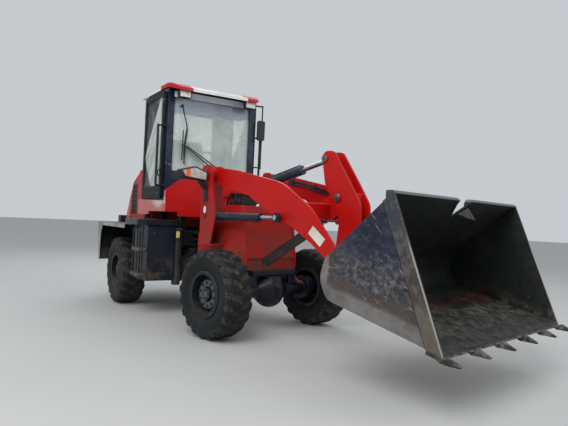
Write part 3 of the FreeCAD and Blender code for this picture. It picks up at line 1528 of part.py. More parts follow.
def make_lift_cylinders():
    foot = (d.lift_foot_x, d.lift_foot_z)
    eye = (d.lift_eye_x, d.lift_eye_z)
    radii = (d.lift_barrel, d.lift_rod, d.lift_pin, d.lift_eye)
    for side in BOTH:
        name = SIDE_NAMES[side]
        place, reach = pose_between(True, foot, eye, side * d.lift_side)
        names = (f"lift_barrel_{name}", f"lift_rod_{name}")
        barrel, rod = make_cylinder(names, place, reach, "lift", radii, (34, d.lift_eye_half), 42, 220, -1)
        low, high = span(side, "lift_eye_half", "lift_eye_half + 12")
        rod.slab("XZ", disc(reach, 0, 27), low, high)


def make_tilt_cylinder():
    foot = (d.tilt_foot_x, d.tilt_foot_z)
    eye = (d.crank_top_x, d.crank_top_z)
    radii = (d.tilt_barrel, d.tilt_rod, d.tilt_pin, d.tilt_eye)
    place, reach = pose_between(True, foot, eye, 0)
    make_cylinder(("tilt_barrel", "tilt_rod"), place, reach, "tilt", radii, (30, 36), 80, 400, 1)


def make_steering_cylinders():
    turn = math.radians(d.steer_rest)
    radii = (d.steer_barrel, d.steer_rod, d.steer_pin, 30)
    for side in BOTH:
        name = SIDE_NAMES[side]
        foot = (-d.steer_foot_behind, side * d.steer_foot_side)
        ahead, left = d.steer_eye_ahead, side * d.steer_eye_side
        eye = (
            ahead * math.cos(turn) - left * math.sin(turn),
            ahead * math.sin(turn) + left * math.cos(turn),
        )
        reach = math.hypot(eye[0] - foot[0], eye[1] - foot[1])
        yaw = math.degrees(math.atan2(eye[1] - foot[1], eye[0] - foot[0]))
        lay = Rotation(Vector(0, 0, 1), yaw).multiply(Rotation(Vector(1, 0, 0), 90))
        place = at(False, foot[0], foot[1], d.steer_level, lay)
        names = (f"steer_barrel_{name}", f"steer_rod_{name}")
        make_cylinder(names, place, reach, "steer", radii, (20, 20), 52, 285)


for end in ("front", "rear"):
    for side in BOTH:
        make_tyre(end, side)
        make_rim(end, side)
    make_axle(end)
make_rear_frame()
make_counterweight()
make_engine()
make_hood()
make_grille()
make_exhaust()
make_fenders()
for side in BOTH:
    make_tank(side)
    make_door(side)
make_platforms()
make_filter()
make_steps()
make_cab_base()
make_cab_frame()
make_roof()
make_glass()
make_seat()
make_console()
make_mirror()
make_roof_lamps()
make_front_frame()
make_headlamps()
make_arms()
make_boom_pipes()
make_valve()
make_strut()
make_bellcrank()
make_link()
make_bucket()
make_edge()
make_lift_cylinders()
make_tilt_cylinder()
make_steering_cylinders()

doc.recompute()
for item in doc.Objects:
    if "Invalid" in item.State or "Error" in item.State:
        raise ValueError(f"{item.Label}: {item.State}")
for piece in pieces:
    shape = piece.body.Shape
    if shape.isNull() or not shape.isValid():
        raise ValueError(f"{piece.body.Label}: no sound shape")

os.makedirs("parts", exist_ok=True)
for piece in pieces:
    piece.body.Shape.exportStep(f"parts/{piece.body.Label}.step")
whole = FreeCAD.BoundBox()
for piece in pieces:
    whole.add(piece.body.Shape.BoundBox)
print("pieces", len(pieces), "box", whole)
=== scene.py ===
import math
import random

import bmesh
import bpy
from mathutils import Matrix, Vector, noise


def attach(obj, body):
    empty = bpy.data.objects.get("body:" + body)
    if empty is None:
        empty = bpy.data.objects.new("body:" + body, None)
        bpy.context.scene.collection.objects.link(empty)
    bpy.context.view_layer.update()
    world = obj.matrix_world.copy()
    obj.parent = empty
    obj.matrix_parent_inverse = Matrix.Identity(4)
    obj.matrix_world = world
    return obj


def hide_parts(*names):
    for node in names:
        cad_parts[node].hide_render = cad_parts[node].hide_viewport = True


# A compact red wheel loader, worn and muddy from work. Metres. Rear pieces are drawn
# from the articulation pin, x ahead and y left, and front pieces in the turned front frame.

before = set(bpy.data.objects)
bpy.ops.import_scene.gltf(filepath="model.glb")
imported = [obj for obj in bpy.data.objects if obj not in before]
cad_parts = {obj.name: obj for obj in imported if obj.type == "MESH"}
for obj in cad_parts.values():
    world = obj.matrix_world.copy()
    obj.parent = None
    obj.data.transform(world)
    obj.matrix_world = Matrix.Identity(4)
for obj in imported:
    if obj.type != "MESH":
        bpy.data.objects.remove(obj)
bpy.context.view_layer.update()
scene = bpy.context.scene
random.seed(7)

STEER = math.radians(11.3)
REAR = Matrix.Translation((-0.772, -0.375, 0))
FRONT = REAR @ Matrix.Rotation(STEER, 4, "Z")
SIDES = ((-1, "right"), (1, "left"))


# Materials: each is a small node tree around one Principled shader.

def tone(red, green, blue):
    """A screen colour, 0 to 255, as a linear one."""
    values = []
    for value in (red, green, blue):
        value /= 255
        values.append(value / 12.92 if value <= 0.04045 else ((value + 0.055) / 1.055) ** 2.4)
    return (*values, 1.0)


class Finish:
    """Builds a material step by step; colours and amounts are sockets or plain values."""

    def __init__(self, name, place=None):
        self.material = bpy.data.materials.new(name)
        self.material.use_nodes = True
        self.tree = self.material.node_tree
        self.shader = next(n for n in self.tree.nodes if n.type == "BSDF_PRINCIPLED")
        self.space = self.node("ShaderNodeTexCoord").outputs["Object"]
        if place is not None:
            back = place.inverted()
            turn = self.node("ShaderNodeMapping", Vector=self.space)
            turn.inputs["Rotation"].default_value = back.to_euler()
            turn.inputs["Location"].default_value = back.translation
            self.space = turn.outputs[0]
        axes = self.node("ShaderNodeSeparateXYZ", Vector=self.space)
        self.x, self.y, self.z = axes.outputs
        normal = self.node("ShaderNodeTexCoord").outputs["Normal"]
        self.up = self.node("ShaderNodeSeparateXYZ", Vector=normal).outputs[2]

    def node(self, kind, settings=None, **inputs):
        node = self.tree.nodes.new(kind)
        for key, value in (settings or {}).items():
            setattr(node, key, value)
        for key, value in inputs.items():
            self.put(node.inputs[key], value)
        return node

    def put(self, socket, value):
        if isinstance(value, bpy.types.NodeSocket):
            self.tree.links.new(value, socket)
        else:
            socket.default_value = value

    def calc(self, operation, first, second=0.5, clamp=False):
        node = self.node("ShaderNodeMath", {"operation": operation, "use_clamp": clamp})
        self.put(node.inputs[0], first)
        self.put(node.inputs[1], second)
        return node.outputs[0]

    def noise(self, scale, detail=5.0, rough=0.6, stretch=None, warp=0.0):
        """Noise, drawn out along turned axes where stretch gives (lengths, turn)."""
        place = self.space
        if stretch is not None:
            turned = {"vector_type": "TEXTURE"}
            place = self.node("ShaderNodeMapping", turned, Vector=place, Scale=stretch[0], Rotation=stretch[1]).outputs[0]
        node = self.node("ShaderNodeTexNoise", Vector=place, Scale=scale, Detail=detail, Roughness=rough, Distortion=warp)
        return node.outputs["Fac"]

    def cells(self, scale, feature="F1"):
        node = self.node("ShaderNodeTexVoronoi", {"feature": feature}, Vector=self.space, Scale=scale)
        return node.outputs["Distance"]

    def step(self, value, low, high):
        """0 below low and 1 above high, or the reverse if low is the larger."""
        node = self.node("ShaderNodeMapRange", {"interpolation_type": "SMOOTHSTEP"})
        self.put(node.inputs[0], value)
        turned = low > high
        node.inputs[1].default_value = min(low, high)
        node.inputs[2].default_value = max(low, high)
        node.inputs[3].default_value = 1.0 if turned else 0.0
        node.inputs[4].default_value = 0.0 if turned else 1.0
        return node.outputs[0]

    def blend(self, amount, under, over, mode="MIX"):
        node = self.node("ShaderNodeMix", {"data_type": "RGBA", "blend_type": mode})
        self.put(node.inputs[0], amount)
        self.put(node.inputs[6], under)
        self.put(node.inputs[7], over)
        return node.outputs[2]

    def both(self, first, second):
        return self.calc("MULTIPLY", first, second)

    def scratches(self, count=60, fine=0.70, angle=0.6):
        """Thin long marks in two directions, the first sloping down ahead by an angle."""
        one = self.noise(count, 2.0, 0.5, ((12, 1, 1), (0, angle, 0.2)), 0.1)
        two = self.noise(count * 1.4, 2.0, 0.5, ((9, 1, 1), (0.2, angle + 0.45, 0)), 0.2)
        return self.calc("MAXIMUM", self.step(one, fine, fine + 0.04), self.step(two, fine + 0.02, fine + 0.06))

    def done(self, colour, rough, bump=None, **sockets):
        self.put(self.shader.inputs["Base Color"], colour)
        self.put(self.shader.inputs["Roughness"], rough)
        for key, value in sockets.items():
            self.put(self.shader.inputs[key.replace("_", " ")], value)
        if bump is not None:
            height, strength, distance = bump
            node = self.node("ShaderNodeBump", Strength=strength, Distance=distance, Height=height)
            self.put(self.shader.inputs["Normal"], node.outputs[0])
        return self.material


MUD = tone(84, 72, 60)
DUST = tone(176, 150, 136)


def painted(name, colour, faded, gloss=0.35, dust=0.35, mud_low=0.35, mud_high=1.0, chips=0.0,
            place=None, chip_tone=None, over=None):
    """Worn paint: patchy tone, dust on what faces up, mud low down, scratches and chips.
    A function given as over lays more on the colour."""
    look = Finish(name, place)
    patches = look.noise(1.6, 6.0, 0.65, warp=0.4)
    fine = look.noise(34.0, 4.0, 0.7)
    base = look.blend(look.step(patches, 0.42, 0.68), colour, faded)
    streak = look.noise(9.0, 4.0, 0.65, ((1, 1, 8), (0, 0, 0)))
    base = look.blend(look.both(look.step(streak, 0.52, 0.75), 0.25), base, faded)
    settle = look.both(look.step(look.up, 0.35, 0.95), look.step(look.noise(5.0, 5.0, 0.7), 0.36, 0.62))
    base = look.blend(look.both(settle, dust), base, DUST)
    low = look.both(look.step(look.z, mud_high, mud_low), look.step(look.noise(7.0, 7.0, 0.72, warp=0.6), 0.40, 0.62))
    base = look.blend(look.both(low, 0.85), base, MUD)
    marks = look.both(look.scratches(46, 0.71), 0.25 + chips)
    base = look.blend(marks, base, faded if chip_tone is None else chip_tone)
    if chips:
        spots = look.step(look.noise(26.0, 3.0, 0.55), 0.70 - 0.05 * chips, 0.73)
        base = look.blend(look.both(spots, 0.8), base, chip_tone or tone(70, 58, 54))
    grime = look.step(look.noise(3.2, 6.0, 0.7), 0.50, 0.80)
    base = look.blend(look.both(grime, 0.28), base, tone(52, 40, 38), "MULTIPLY")
    if over is not None:
        base = over(look, base)
    dull = look.calc("ADD", look.both(low, 0.45), look.calc("ADD", look.both(fine, 0.16), gloss - 0.06), clamp=True)
    dull = look.calc("ADD", dull, look.both(settle, 0.3), clamp=True)
    height = look.calc("ADD", look.both(look.noise(120.0, 2.0), 0.18), look.both(low, look.noise(60.0, 4.0)))
    return look.done(base, dull, (height, 0.25, 0.004), Specular_IOR_Level=0.26, Coat_Weight=0.04, Coat_Roughness=0.25)


def sill_dust(look, base):
    """Pinkish dust on the side sills, and a pale splash of clay below the handles."""
    side = look.step(look.calc("ABSOLUTE", look.y), 0.564, 0.571)
    base = look.blend(look.both(side, look.calc("ADD", look.both(look.noise(5.0), 0.5), 0.28)), base, tone(206, 146, 138))
    across = look.calc("DIVIDE", look.calc("ADD", look.x, 0.22), 0.24)
    rise = look.calc("DIVIDE", look.calc("SUBTRACT", look.z, 1.315), 0.085)
    away = look.calc("ADD", look.both(across, across), look.both(rise, rise))
    ragged = look.calc("ADD", away, look.both(look.noise(24.0, 9.0, 0.85), 4.4))
    splash = look.both(look.both(look.step(ragged, 3.10, 2.45), side), 0.85)
    return look.blend(splash, base, look.blend(look.noise(40.0), tone(226, 220, 216), tone(170, 158, 152)))


def louvre_dark(look, base):
    """The hood's vent: the bars between its slots are as dark as the slots."""
    rear = look.calc("SUBTRACT", look.x, look.calc("MULTIPLY", look.calc("SUBTRACT", look.z, 1.15), 0.1708))
    vent = look.both(look.step(rear, -1.724, -1.721), look.step(look.x, -1.440, -1.443))
    vent = look.both(vent, look.both(look.step(look.z, 1.140, 1.143), look.step(look.z, 1.566, 1.563)))
    vent = look.both(vent, look.step(look.calc("ABSOLUTE", look.y), 0.462, 0.464))
    base = look.blend(vent, base, look.blend(look.noise(9.0), tone(20, 24, 26), tone(56, 62, 64)))
    worn = look.step(look.calc("ADD", look.x, look.both(look.noise(6.0, 6.0, 0.7), 0.22)), -1.60, -1.72)
    flank = look.step(look.calc("ABSOLUTE", look.y), 0.474, 0.477)
    thin = look.both(look.step(look.noise(4.0, 7.0, 0.75, warp=0.4), 0.46, 0.66), 0.16)
    amount = look.calc("ADD", thin, look.both(flank, 0.34))
    amount = look.both(amount, look.calc("SUBTRACT", 1.0, vent))
    return look.blend(look.both(worn, amount), base, tone(214, 178, 172))


def handle_black(look, base):
    """Grab handles stand outside the pillars and are black."""
    return look.blend(look.step(look.calc("ABSOLUTE", look.y), 0.590, 0.600), base, tone(12, 13, 15))


def flange_dust(look, base):
    """The fenders' outer flanges are pale with dried splashes."""
    outer = look.step(look.calc("ABSOLUTE", look.y), 0.872, 0.877)
    pale = look.blend(look.step(look.noise(12.0, 6.0, 0.7), 0.38, 0.62), tone(112, 114, 110), tone(176, 178, 170))
    return look.blend(look.both(outer, 0.9), base, pale)


def tread_dust(look, base):
    """Boot dirt on the steps' treads."""
    level = look.calc("ABSOLUTE", look.calc("SUBTRACT", look.calc("MODULO", look.calc("SUBTRACT", look.z, 0.45), 0.285), 0.019))
    tread = look.step(level, 0.024, 0.021)
    worn = look.blend(look.step(look.noise(14.0, 6.0, 0.7), 0.40, 0.60), tone(62, 64, 64), tone(104, 102, 95))
    return look.blend(look.both(tread, 0.85), base, worn)


def rod_finish(name, place, spot, radius, plane="z"):
    """Chromed rod with a black ring round its eye, partly the eye's dark casting and partly painted shadow round the
    eye, whose middle is bright again.
    """
    look = Finish(name, place)
    first = look.calc("SUBTRACT", look.x, spot[0])
    second = look.calc("SUBTRACT", look.z if plane == "z" else look.y, spot[1])
    away = look.calc("SQRT", look.calc("ADD", look.both(first, first), look.both(second, second)))
    # The dark ring round the eye: its casting, and painted shadow
    eye_casting_and_shadow = look.both(look.step(away, radius + 0.006, radius), look.step(away, radius - 0.024, radius - 0.022))
    base = look.blend(look.noise(14.0, 5.0, 0.6), tone(214, 216, 218), tone(176, 178, 182))
    smut = look.both(look.step(look.noise(24.0, 6.0, 0.7), 0.52, 0.68), 0.3)
    base = look.blend(smut, base, tone(70, 58, 50))
    base = look.blend(eye_casting_and_shadow, base, look.blend(look.noise(20.0), tone(14, 16, 20), tone(34, 36, 42)))
    bright = look.calc("SUBTRACT", 1.0, eye_casting_and_shadow)
    dull = look.calc("ADD", look.both(eye_casting_and_shadow, 0.3), look.calc("ADD", look.both(smut, 0.6), 0.14))
    return look.done(base, dull, (look.noise(150.0, 2.0), 0.1, 0.002), Metallic=look.both(bright, 0.95))


def bucket_steel(name="bucket_steel", place=FRONT):
    """Blue-black paint above, dried mud across the middle and bare steel where the ground rubs."""
    look = Finish(name, place)
    # How far a point lies above the line from the bucket's heel to its lip
    slope = math.atan2(0.408 - 0.616, 3.600 - 2.676)
    across = look.calc("MULTIPLY", look.calc("SUBTRACT", look.x, 2.676), -math.sin(slope))
    rise = look.calc("ADD", across, look.calc("MULTIPLY", look.calc("SUBTRACT", look.z, 0.616), math.cos(slope)))
    wavy = look.calc("SUBTRACT", look.noise(3.2, 6.0, 0.65), 0.5)
    rough_edge = look.calc("MULTIPLY", wavy, 0.30)
    # and how far inside the rounded heel
    behind = look.calc("SUBTRACT", look.calc("ADD", look.x, look.both(rough_edge, 0.3)), 2.614)
    navy = look.blend(look.step(look.noise(2.2, 5.0, 0.6), 0.4, 0.65), tone(20, 27, 46), tone(40, 46, 64))
    mud = look.blend(look.step(look.noise(24.0, 8.0, 0.8), 0.42, 0.60), tone(34, 34, 36), tone(120, 112, 102))
    steel = look.blend(look.step(look.noise(7.0, 6.0, 0.7), 0.35, 0.7), tone(122, 119, 116), tone(94, 90, 87))
    level = look.calc("ADD", rise, rough_edge)
    flecks = look.step(look.noise(26.0, 9.0, 0.85, ((2.2, 1, 1), (0, 0.4, 0))), 0.46, 0.62)
    side = look.blend(look.both(look.step(level, 0.50, 0.30), look.calc("ADD", look.both(flecks, 0.6), 0.35)), navy, mud)
    side = look.blend(look.both(flecks, 0.16), side, tone(120, 120, 124))
    bare = look.calc("MAXIMUM", look.step(look.calc("ADD", rise, look.both(rough_edge, 0.4)), 0.125, 0.085),
                     look.step(behind, 0.075, 0.050))
    rim = look.calc("MAXIMUM", look.step(level, 0.21, 0.16), look.step(behind, 0.125, 0.090))
    side = look.blend(look.both(rim, 0.8), side, look.blend(look.noise(9.0), tone(58, 48, 46), tone(82, 72, 70)))
    side = look.blend(bare, side, steel)
    marks = look.both(look.scratches(42, 0.665, 0.22), look.step(look.noise(2.4, 3.0, 0.5), 0.38, 0.58))
    side = look.blend(look.both(marks, 0.55), side, tone(150, 152, 156))
    # The front strip, browner and more worn towards its foot
    lip = math.atan2(1.378 - 0.408, 3.212 - 3.600)
    mouth = look.calc("MULTIPLY", look.calc("SUBTRACT", look.x, 3.600), math.sin(lip))
    mouth = look.calc("SUBTRACT", mouth, look.calc("MULTIPLY", look.calc("SUBTRACT", look.z, 0.408), math.cos(lip)))
    mouth = look.calc("ABSOLUTE", mouth)
    strip = look.step(mouth, 0.100, 0.096)
    worn = look.blend(look.step(look.calc("ADD", look.z, rough_edge), 1.02, 0.80), tone(54, 56, 66), tone(62, 55, 50))
    worn = look.blend(look.step(look.calc("ADD", look.z, rough_edge), 0.74, 0.60), worn, tone(92, 86, 77))
    worn = look.blend(look.both(look.step(look.noise(18.0, 7.0, 0.75), 0.47, 0.60), 0.55), worn, tone(108, 98, 88))
    side = look.blend(look.both(strip, 0.9), side, worn)
    side = look.blend(look.both(look.step(mouth, 0.101, 0.098), look.step(mouth, 0.090, 0.094)), side, tone(30, 28, 30))
    side = look.blend(look.both(look.step(mouth, 0.0045, 0.0025), look.step(look.z, 1.15, 0.95)), side, tone(150, 146, 138))
    # The inside: its near-black is painted shade, with rust at the back of its floor and mud towards the lip, both also
    # painted darker as shade
    rust = look.blend(look.step(look.noise(4.0, 6.0, 0.7), 0.42, 0.60), tone(22, 17, 13), tone(62, 31, 20))
    floor_mud = look.blend(look.step(look.noise(13.0, 9.0, 0.8), 0.40, 0.64), tone(26, 26, 23), tone(76, 76, 69))
    dark = look.blend(look.step(look.noise(3.0, 6.0, 0.7), 0.45, 0.75), tone(20, 25, 23), tone(44, 46, 41))
    ahead = look.calc("ADD", look.x, rough_edge)
    floor = look.blend(look.step(ahead, 2.80, 2.98), dark, rust)
    floor = look.blend(look.step(ahead, 3.06, 3.16), floor, floor_mud)
    upper = look.calc("ADD", look.z, look.both(look.calc("SUBTRACT", look.x, 3.1), 0.2))
    inner = look.blend(look.step(look.calc("ADD", upper, rough_edge), 0.66, 0.58), dark, floor)
    specks = look.both(look.step(look.noise(22.0, 4.0, 0.6), 0.66, 0.72), look.step(look.z, 1.0, 0.8))
    inner = look.blend(look.both(specks, 0.5), inner, tone(78, 78, 72))
    inner = look.blend(look.step(look.z, 1.362, 1.372), inner, tone(104, 104, 106))
    outside = look.step(look.calc("ABSOLUTE", look.y), 0.906, 0.911)
    colour = look.blend(outside, inner, side)
    under = look.step(look.calc("ADD", level, look.calc("MULTIPLY", look.up, 0.4)), -0.02, -0.10)
    colour = look.blend(look.both(under, look.step(outside, 0.6, 0.4)), colour, mud)
    bright = look.both(bare, outside)
    dull = look.calc("ADD", look.both(look.noise(9.0, 5.0), 0.35), 0.42, clamp=True)
    height = look.calc("ADD", look.both(look.noise(40.0, 6.0, 0.7), 0.7), look.both(marks, -0.6))
    return look.done(colour, dull, (height, 0.45, 0.006), Metallic=look.both(bright, 0.25), Specular_IOR_Level=0.3)


def edge_steel():
    """Cutting edge and teeth: dark with dirt, bright along the lip and on the teeth's flanks."""
    look = Finish("edge_steel", FRONT)
    dark = look.blend(look.step(look.noise(9.0, 6.0, 0.7), 0.4, 0.62), tone(38, 38, 36), tone(74, 70, 64))
    worn = look.blend(look.step(look.noise(20.0, 6.0, 0.7), 0.42, 0.58), tone(116, 112, 106), tone(44, 42, 39))
    ahead = look.calc("ADD", look.x, look.both(look.noise(12.0, 5.0, 0.7), 0.03))
    base = look.blend(look.step(ahead, 3.596, 3.612), dark, worn)
    return look.done(base, 0.5, (look.noise(50.0, 5.0), 0.3, 0.003), Metallic=0.35)


def rubber(name, mud=0.6):
    """Tyre rubber; the mesh's own 'mud' value says where dirt has packed."""
    look = Finish(name)
    packed = look.node("ShaderNodeAttribute", {"attribute_name": "mud"}).outputs["Fac"]
    grain = look.noise(16.0, 8.0, 0.75, warp=0.5)
    base = look.blend(look.step(look.noise(5.0, 5.0, 0.6), 0.4, 0.7), tone(15, 20, 22), tone(29, 35, 38))
    earth = look.blend(look.step(look.noise(30.0, 6.0, 0.7), 0.38, 0.62), tone(36, 35, 32), tone(74, 70, 63))
    amount = look.both(look.step(look.calc("ADD", packed, look.calc("MULTIPLY", grain, 0.9)), 0.72, 1.15), mud)
    base = look.blend(amount, base, earth)
    height = look.calc("ADD", look.both(look.noise(70.0, 6.0, 0.75), 0.6), look.both(amount, 0.5))
    return look.done(base, look.calc("ADD", look.both(amount, 0.25), 0.60), (height, 0.6, 0.008), Specular_IOR_Level=0.28)


def bare_metal(name, colour, shade, rough=0.3, metal=1.0, dirt=0.3):
    look = Finish(name)
    base = look.blend(look.step(look.noise(12.0, 6.0, 0.65), 0.35, 0.7), colour, shade)
    spots = look.both(look.step(look.noise(24.0, 6.0, 0.7), 0.50, 0.66), dirt)
    base = look.blend(spots, base, tone(70, 58, 50))
    dull = look.calc("ADD", look.both(spots, 0.5), look.calc("ADD", look.both(look.noise(60.0, 3.0), 0.15), rough - 0.07))
    return look.done(base, dull, (look.noise(150.0, 2.0), 0.12, 0.002), Metallic=metal)


def plastic(name, colour, shade, rough=0.5, dust=0.35):
    look = Finish(name)
    base = look.blend(look.step(look.noise(4.0, 5.0, 0.6), 0.4, 0.7), colour, shade)
    settle = look.both(look.step(look.up, 0.2, 0.9), look.step(look.noise(7.0, 6.0, 0.7), 0.40, 0.60))
    base = look.blend(look.both(settle, dust), base, DUST)
    dull = look.calc("ADD", look.both(settle, 0.25), look.calc("ADD", look.both(look.noise(30.0, 4.0), 0.2), rough - 0.1))
    return look.done(base, dull, (look.noise(220.0, 2.0), 0.25, 0.001))


def vinyl():
    look = Finish("seat_vinyl")
    base = look.blend(look.step(look.noise(6.0, 5.0, 0.6), 0.4, 0.7), tone(30, 30, 33), tone(48, 47, 48))
    base = look.blend(look.both(look.step(look.noise(9.0, 6.0, 0.7), 0.52, 0.66), 0.3), base, tone(96, 88, 80))
    leather = look.both(look.step(look.cells(190.0), 0.0, 0.6), 0.7)
    height = look.calc("ADD", leather, look.both(look.noise(24.0, 4.0), 0.5))
    return look.done(base, look.calc("ADD", look.both(look.noise(20.0, 4.0), 0.2), 0.42), (height, 0.35, 0.002))


def pane(name, tint, haze, low, high, film=(), strip=None, foot=None):
    """Dusty glass; a pale film covers it on the positive side of every slanted line given,
    a blue-grey sun strip what lies above a height, and navy paint what lies below another."""
    look = Finish(name)
    cloud = look.noise(3.0, 6.0, 0.6, warp=0.5)
    smear = look.noise(12.0, 5.0, 0.7, ((1, 1, 4), (0.3, 0.2, 0)))
    dusty = look.calc("ADD", look.both(look.step(cloud, 0.38, 0.72), 0.5), look.both(look.step(smear, 0.45, 0.8), 0.35))
    edge = look.step(look.z, low + 0.20, low)
    dusty = look.calc("ADD", dusty, look.both(edge, 0.5), clamp=True)
    alpha = look.calc("ADD", look.both(dusty, high - haze), haze, clamp=True)
    base = look.blend(look.step(smear, 0.4, 0.7), tint, tone(214, 220, 216))
    cover = None
    for x, z, ahead, upward in film:
        line = look.calc("ADD", look.calc("MULTIPLY", look.calc("SUBTRACT", look.x, x), ahead),
                         look.calc("MULTIPLY", look.calc("SUBTRACT", look.z, z), upward))
        wavy = look.calc("ADD", line, look.calc("MULTIPLY", look.calc("SUBTRACT", cloud, 0.5), 0.05))
        part = look.step(wavy, -0.006, 0.010)
        cover = part if cover is None else look.both(cover, part)
    if cover is not None:
        creases = look.noise(7.0, 4.0, 0.6, ((1, 1, 3.3), (0, 0.7, 0)))
        alpha = look.calc("MAXIMUM", alpha, look.both(cover, look.calc("ADD", look.both(creases, 0.3), 0.60)))
        base = look.blend(cover, look.blend(0.6, base, tone(96, 104, 120)),
                          look.blend(look.step(creases, 0.38, 0.66), tone(168, 182, 178), tone(208, 214, 206)))
    if strip is not None:
        rise = look.calc("SUBTRACT", look.z, look.calc("MULTIPLY", look.calc("MAXIMUM", look.y, 0.0), 0.22))
        shade = look.step(look.calc("ADD", rise, look.both(look.noise(4.0, 4.0), 0.09)), strip + 0.035, strip + 0.050)
        band = look.blend(look.step(look.noise(3.0, 5.0, 0.6, ((3, 3, 1), (0.2, 0, 0))), 0.40, 0.62), tone(112, 124, 146),
                          tone(160, 172, 186))
        base = look.blend(shade, base, band)
        alpha = look.calc("MAXIMUM", alpha, look.both(shade, 0.82))
    if foot is not None:
        shade = look.step(look.calc("ADD", look.z, look.both(look.noise(6.0, 5.0), 0.012)), foot, foot - 0.006)
        base = look.blend(shade, base, tone(17, 27, 46))
        alpha = look.calc("MAXIMUM", alpha, shade)
    return look.done(base, look.calc("ADD", look.both(dusty, 0.25), 0.06), (cloud, 0.02, 0.001), Alpha=alpha)


def sun_strip():
    """The glass's top runs up over the header: blue-grey film with folds, its colour painted near white as painted
    light against the shade under the roof's edge.
    """
    look = Finish("sun_strip")
    folds = look.noise(3.0, 5.0, 0.6, ((3, 3, 1), (0.2, 0, 0)))
    base = look.blend(look.step(folds, 0.40, 0.62), tone(206, 216, 234), tone(240, 245, 250))
    return look.done(base, look.calc("ADD", look.both(folds, 0.2), 0.08), (folds, 0.1, 0.002))


def lamp_lens():
    """Clear lens over a ribbed reflector, orange at its outer end."""
    look = Finish("lamp_lens")
    ribs = look.node("ShaderNodeTexWave", {"bands_direction": "Y"}, Vector=look.space, Scale=22.0, Distortion=1.5, Detail=2.0)
    ribs = ribs.outputs["Fac"]
    base = look.blend(ribs, tone(214, 214, 206), tone(150, 152, 150))
    base = look.blend(look.both(look.step(look.noise(14.0, 5.0, 0.7), 0.45, 0.65), 0.35), base, tone(120, 112, 104))
    side = look.calc("ABSOLUTE", look.y)
    amber = look.both(look.step(side, 0.748, 0.756), look.step(side, 0.806, 0.798))
    base = look.blend(amber, base, tone(240, 104, 48))
    return look.done(base, 0.12, (ribs, 0.3, 0.002), Coat_Weight=0.6, Coat_Roughness=0.05)


def work_lens():
    look = Finish("work_lens")
    grid = look.cells(46.0)
    base = look.blend(look.step(grid, 0.25, 0.75), tone(244, 246, 242), tone(188, 190, 186))
    return look.done(base, 0.15, (grid, 0.3, 0.002), Coat_Weight=0.5, Coat_Roughness=0.06)


def ground():
    look = Finish("pale_floor")
    base = look.blend(look.noise(0.7, 4.0, 0.6), tone(180, 181, 180), tone(189, 189, 188))
    return look.done(base, 0.85, (look.noise(90.0, 3.0), 0.05, 0.002))


RED = tone(180, 9, 6)
RED_FADED = tone(178, 16, 12)
red = painted("red_paint", RED, RED_FADED, 0.40, 0.10, 0.45, 1.00, 0.08)
red_front = painted("red_front_frame", tone(172, 14, 12), tone(142, 30, 26), 0.45, 0.3, 0.55, 1.30, 0.3)
red_cab = painted("red_cab_base", RED, RED_FADED, 0.40, 0.3, 0.6, 1.20, 0.1, REAR, over=sill_dust)
red_hood = painted("red_hood", tone(170, 18, 16), tone(176, 54, 48), 0.45, 0.4, 0.6, 1.35, 0.2, REAR, tone(204, 150, 146), louvre_dark)
red_cap = painted("red_roof_caps", tone(176, 20, 26), tone(190, 52, 56), 0.5, 0.3, 0.6, 1.0, 0.1)
navy = painted("navy_paint", tone(15, 24, 44), tone(40, 52, 74), 0.38, 0.25, 0.4, 1.2, 0.2, chip_tone=tone(120, 124, 130))
cab_paint = painted("cab_paint", tone(16, 26, 46), tone(44, 58, 80), 0.34, 0.3, 0.4, 1.3, 0.2, REAR, tone(130, 140, 150), handle_black)
door_paint = painted("door_paint", tone(7, 11, 16), tone(13, 19, 26), 0.55, 0.05, 0.4, 1.2, 0.1, chip_tone=tone(110, 120, 128))
axle_paint = painted("axle_paint", tone(11, 14, 25), tone(24, 27, 44), 0.30, 0.1, 0.10, 0.45, 0.1, chip_tone=tone(60, 58, 56))
tank_paint = painted("tank_paint", tone(14, 21, 29), tone(30, 38, 48), 0.30, 0.2, 0.40, 0.80, 0.2, chip_tone=tone(92, 96, 96))
fender_paint = painted("fender_paint", tone(16, 20, 24), tone(34, 38, 40), 0.45, 0.35, 0.40, 0.90, 0.3, REAR, tone(92, 90, 86), flange_dust)
step_paint = painted("step_paint", tone(10, 14, 19), tone(20, 25, 31), 0.45, 0.1, 0.30, 0.60, 0.1, None, tone(110, 108, 104), tread_dust)
flange_look = painted("fender_flange", tone(128, 130, 126), tone(172, 174, 168), 0.6, 0.3, 0.35, 0.70, 0.5, REAR, tone(60, 58, 55))
black = painted("black_paint", tone(18, 20, 22), tone(36, 37, 38), 0.42, 0.3, 0.4, 0.95, 0.2, chip_tone=tone(84, 78, 72))
white = painted("pale_roof", tone(222, 224, 220), tone(200, 203, 202), 0.5, 0.3, 0.2, 0.3, 0.1, chip_tone=tone(170, 172, 170))
rusty = painted("muddy_channel", tone(26, 21, 19), tone(46, 36, 30), 0.6, 0.3, 0.4, 1.2, 0.4, chip_tone=tone(84, 70, 58))
barrel = painted("barrel_paint", tone(30, 38, 52), tone(58, 66, 78), 0.28, 0.35, 0.2, 0.3, 0.15, chip_tone=tone(100, 104, 108))
rim_paint = painted("rim_paint", tone(20, 24, 27), tone(36, 40, 43), 0.5, 0.2, 0.05, 0.35, 0.3, chip_tone=tone(92, 92, 90))
hub_paint = painted("hub_grey", tone(74, 84, 96), tone(94, 102, 112), 0.45, 0.2, 0.05, 0.35, 0.3, chip_tone=tone(118, 120, 122))
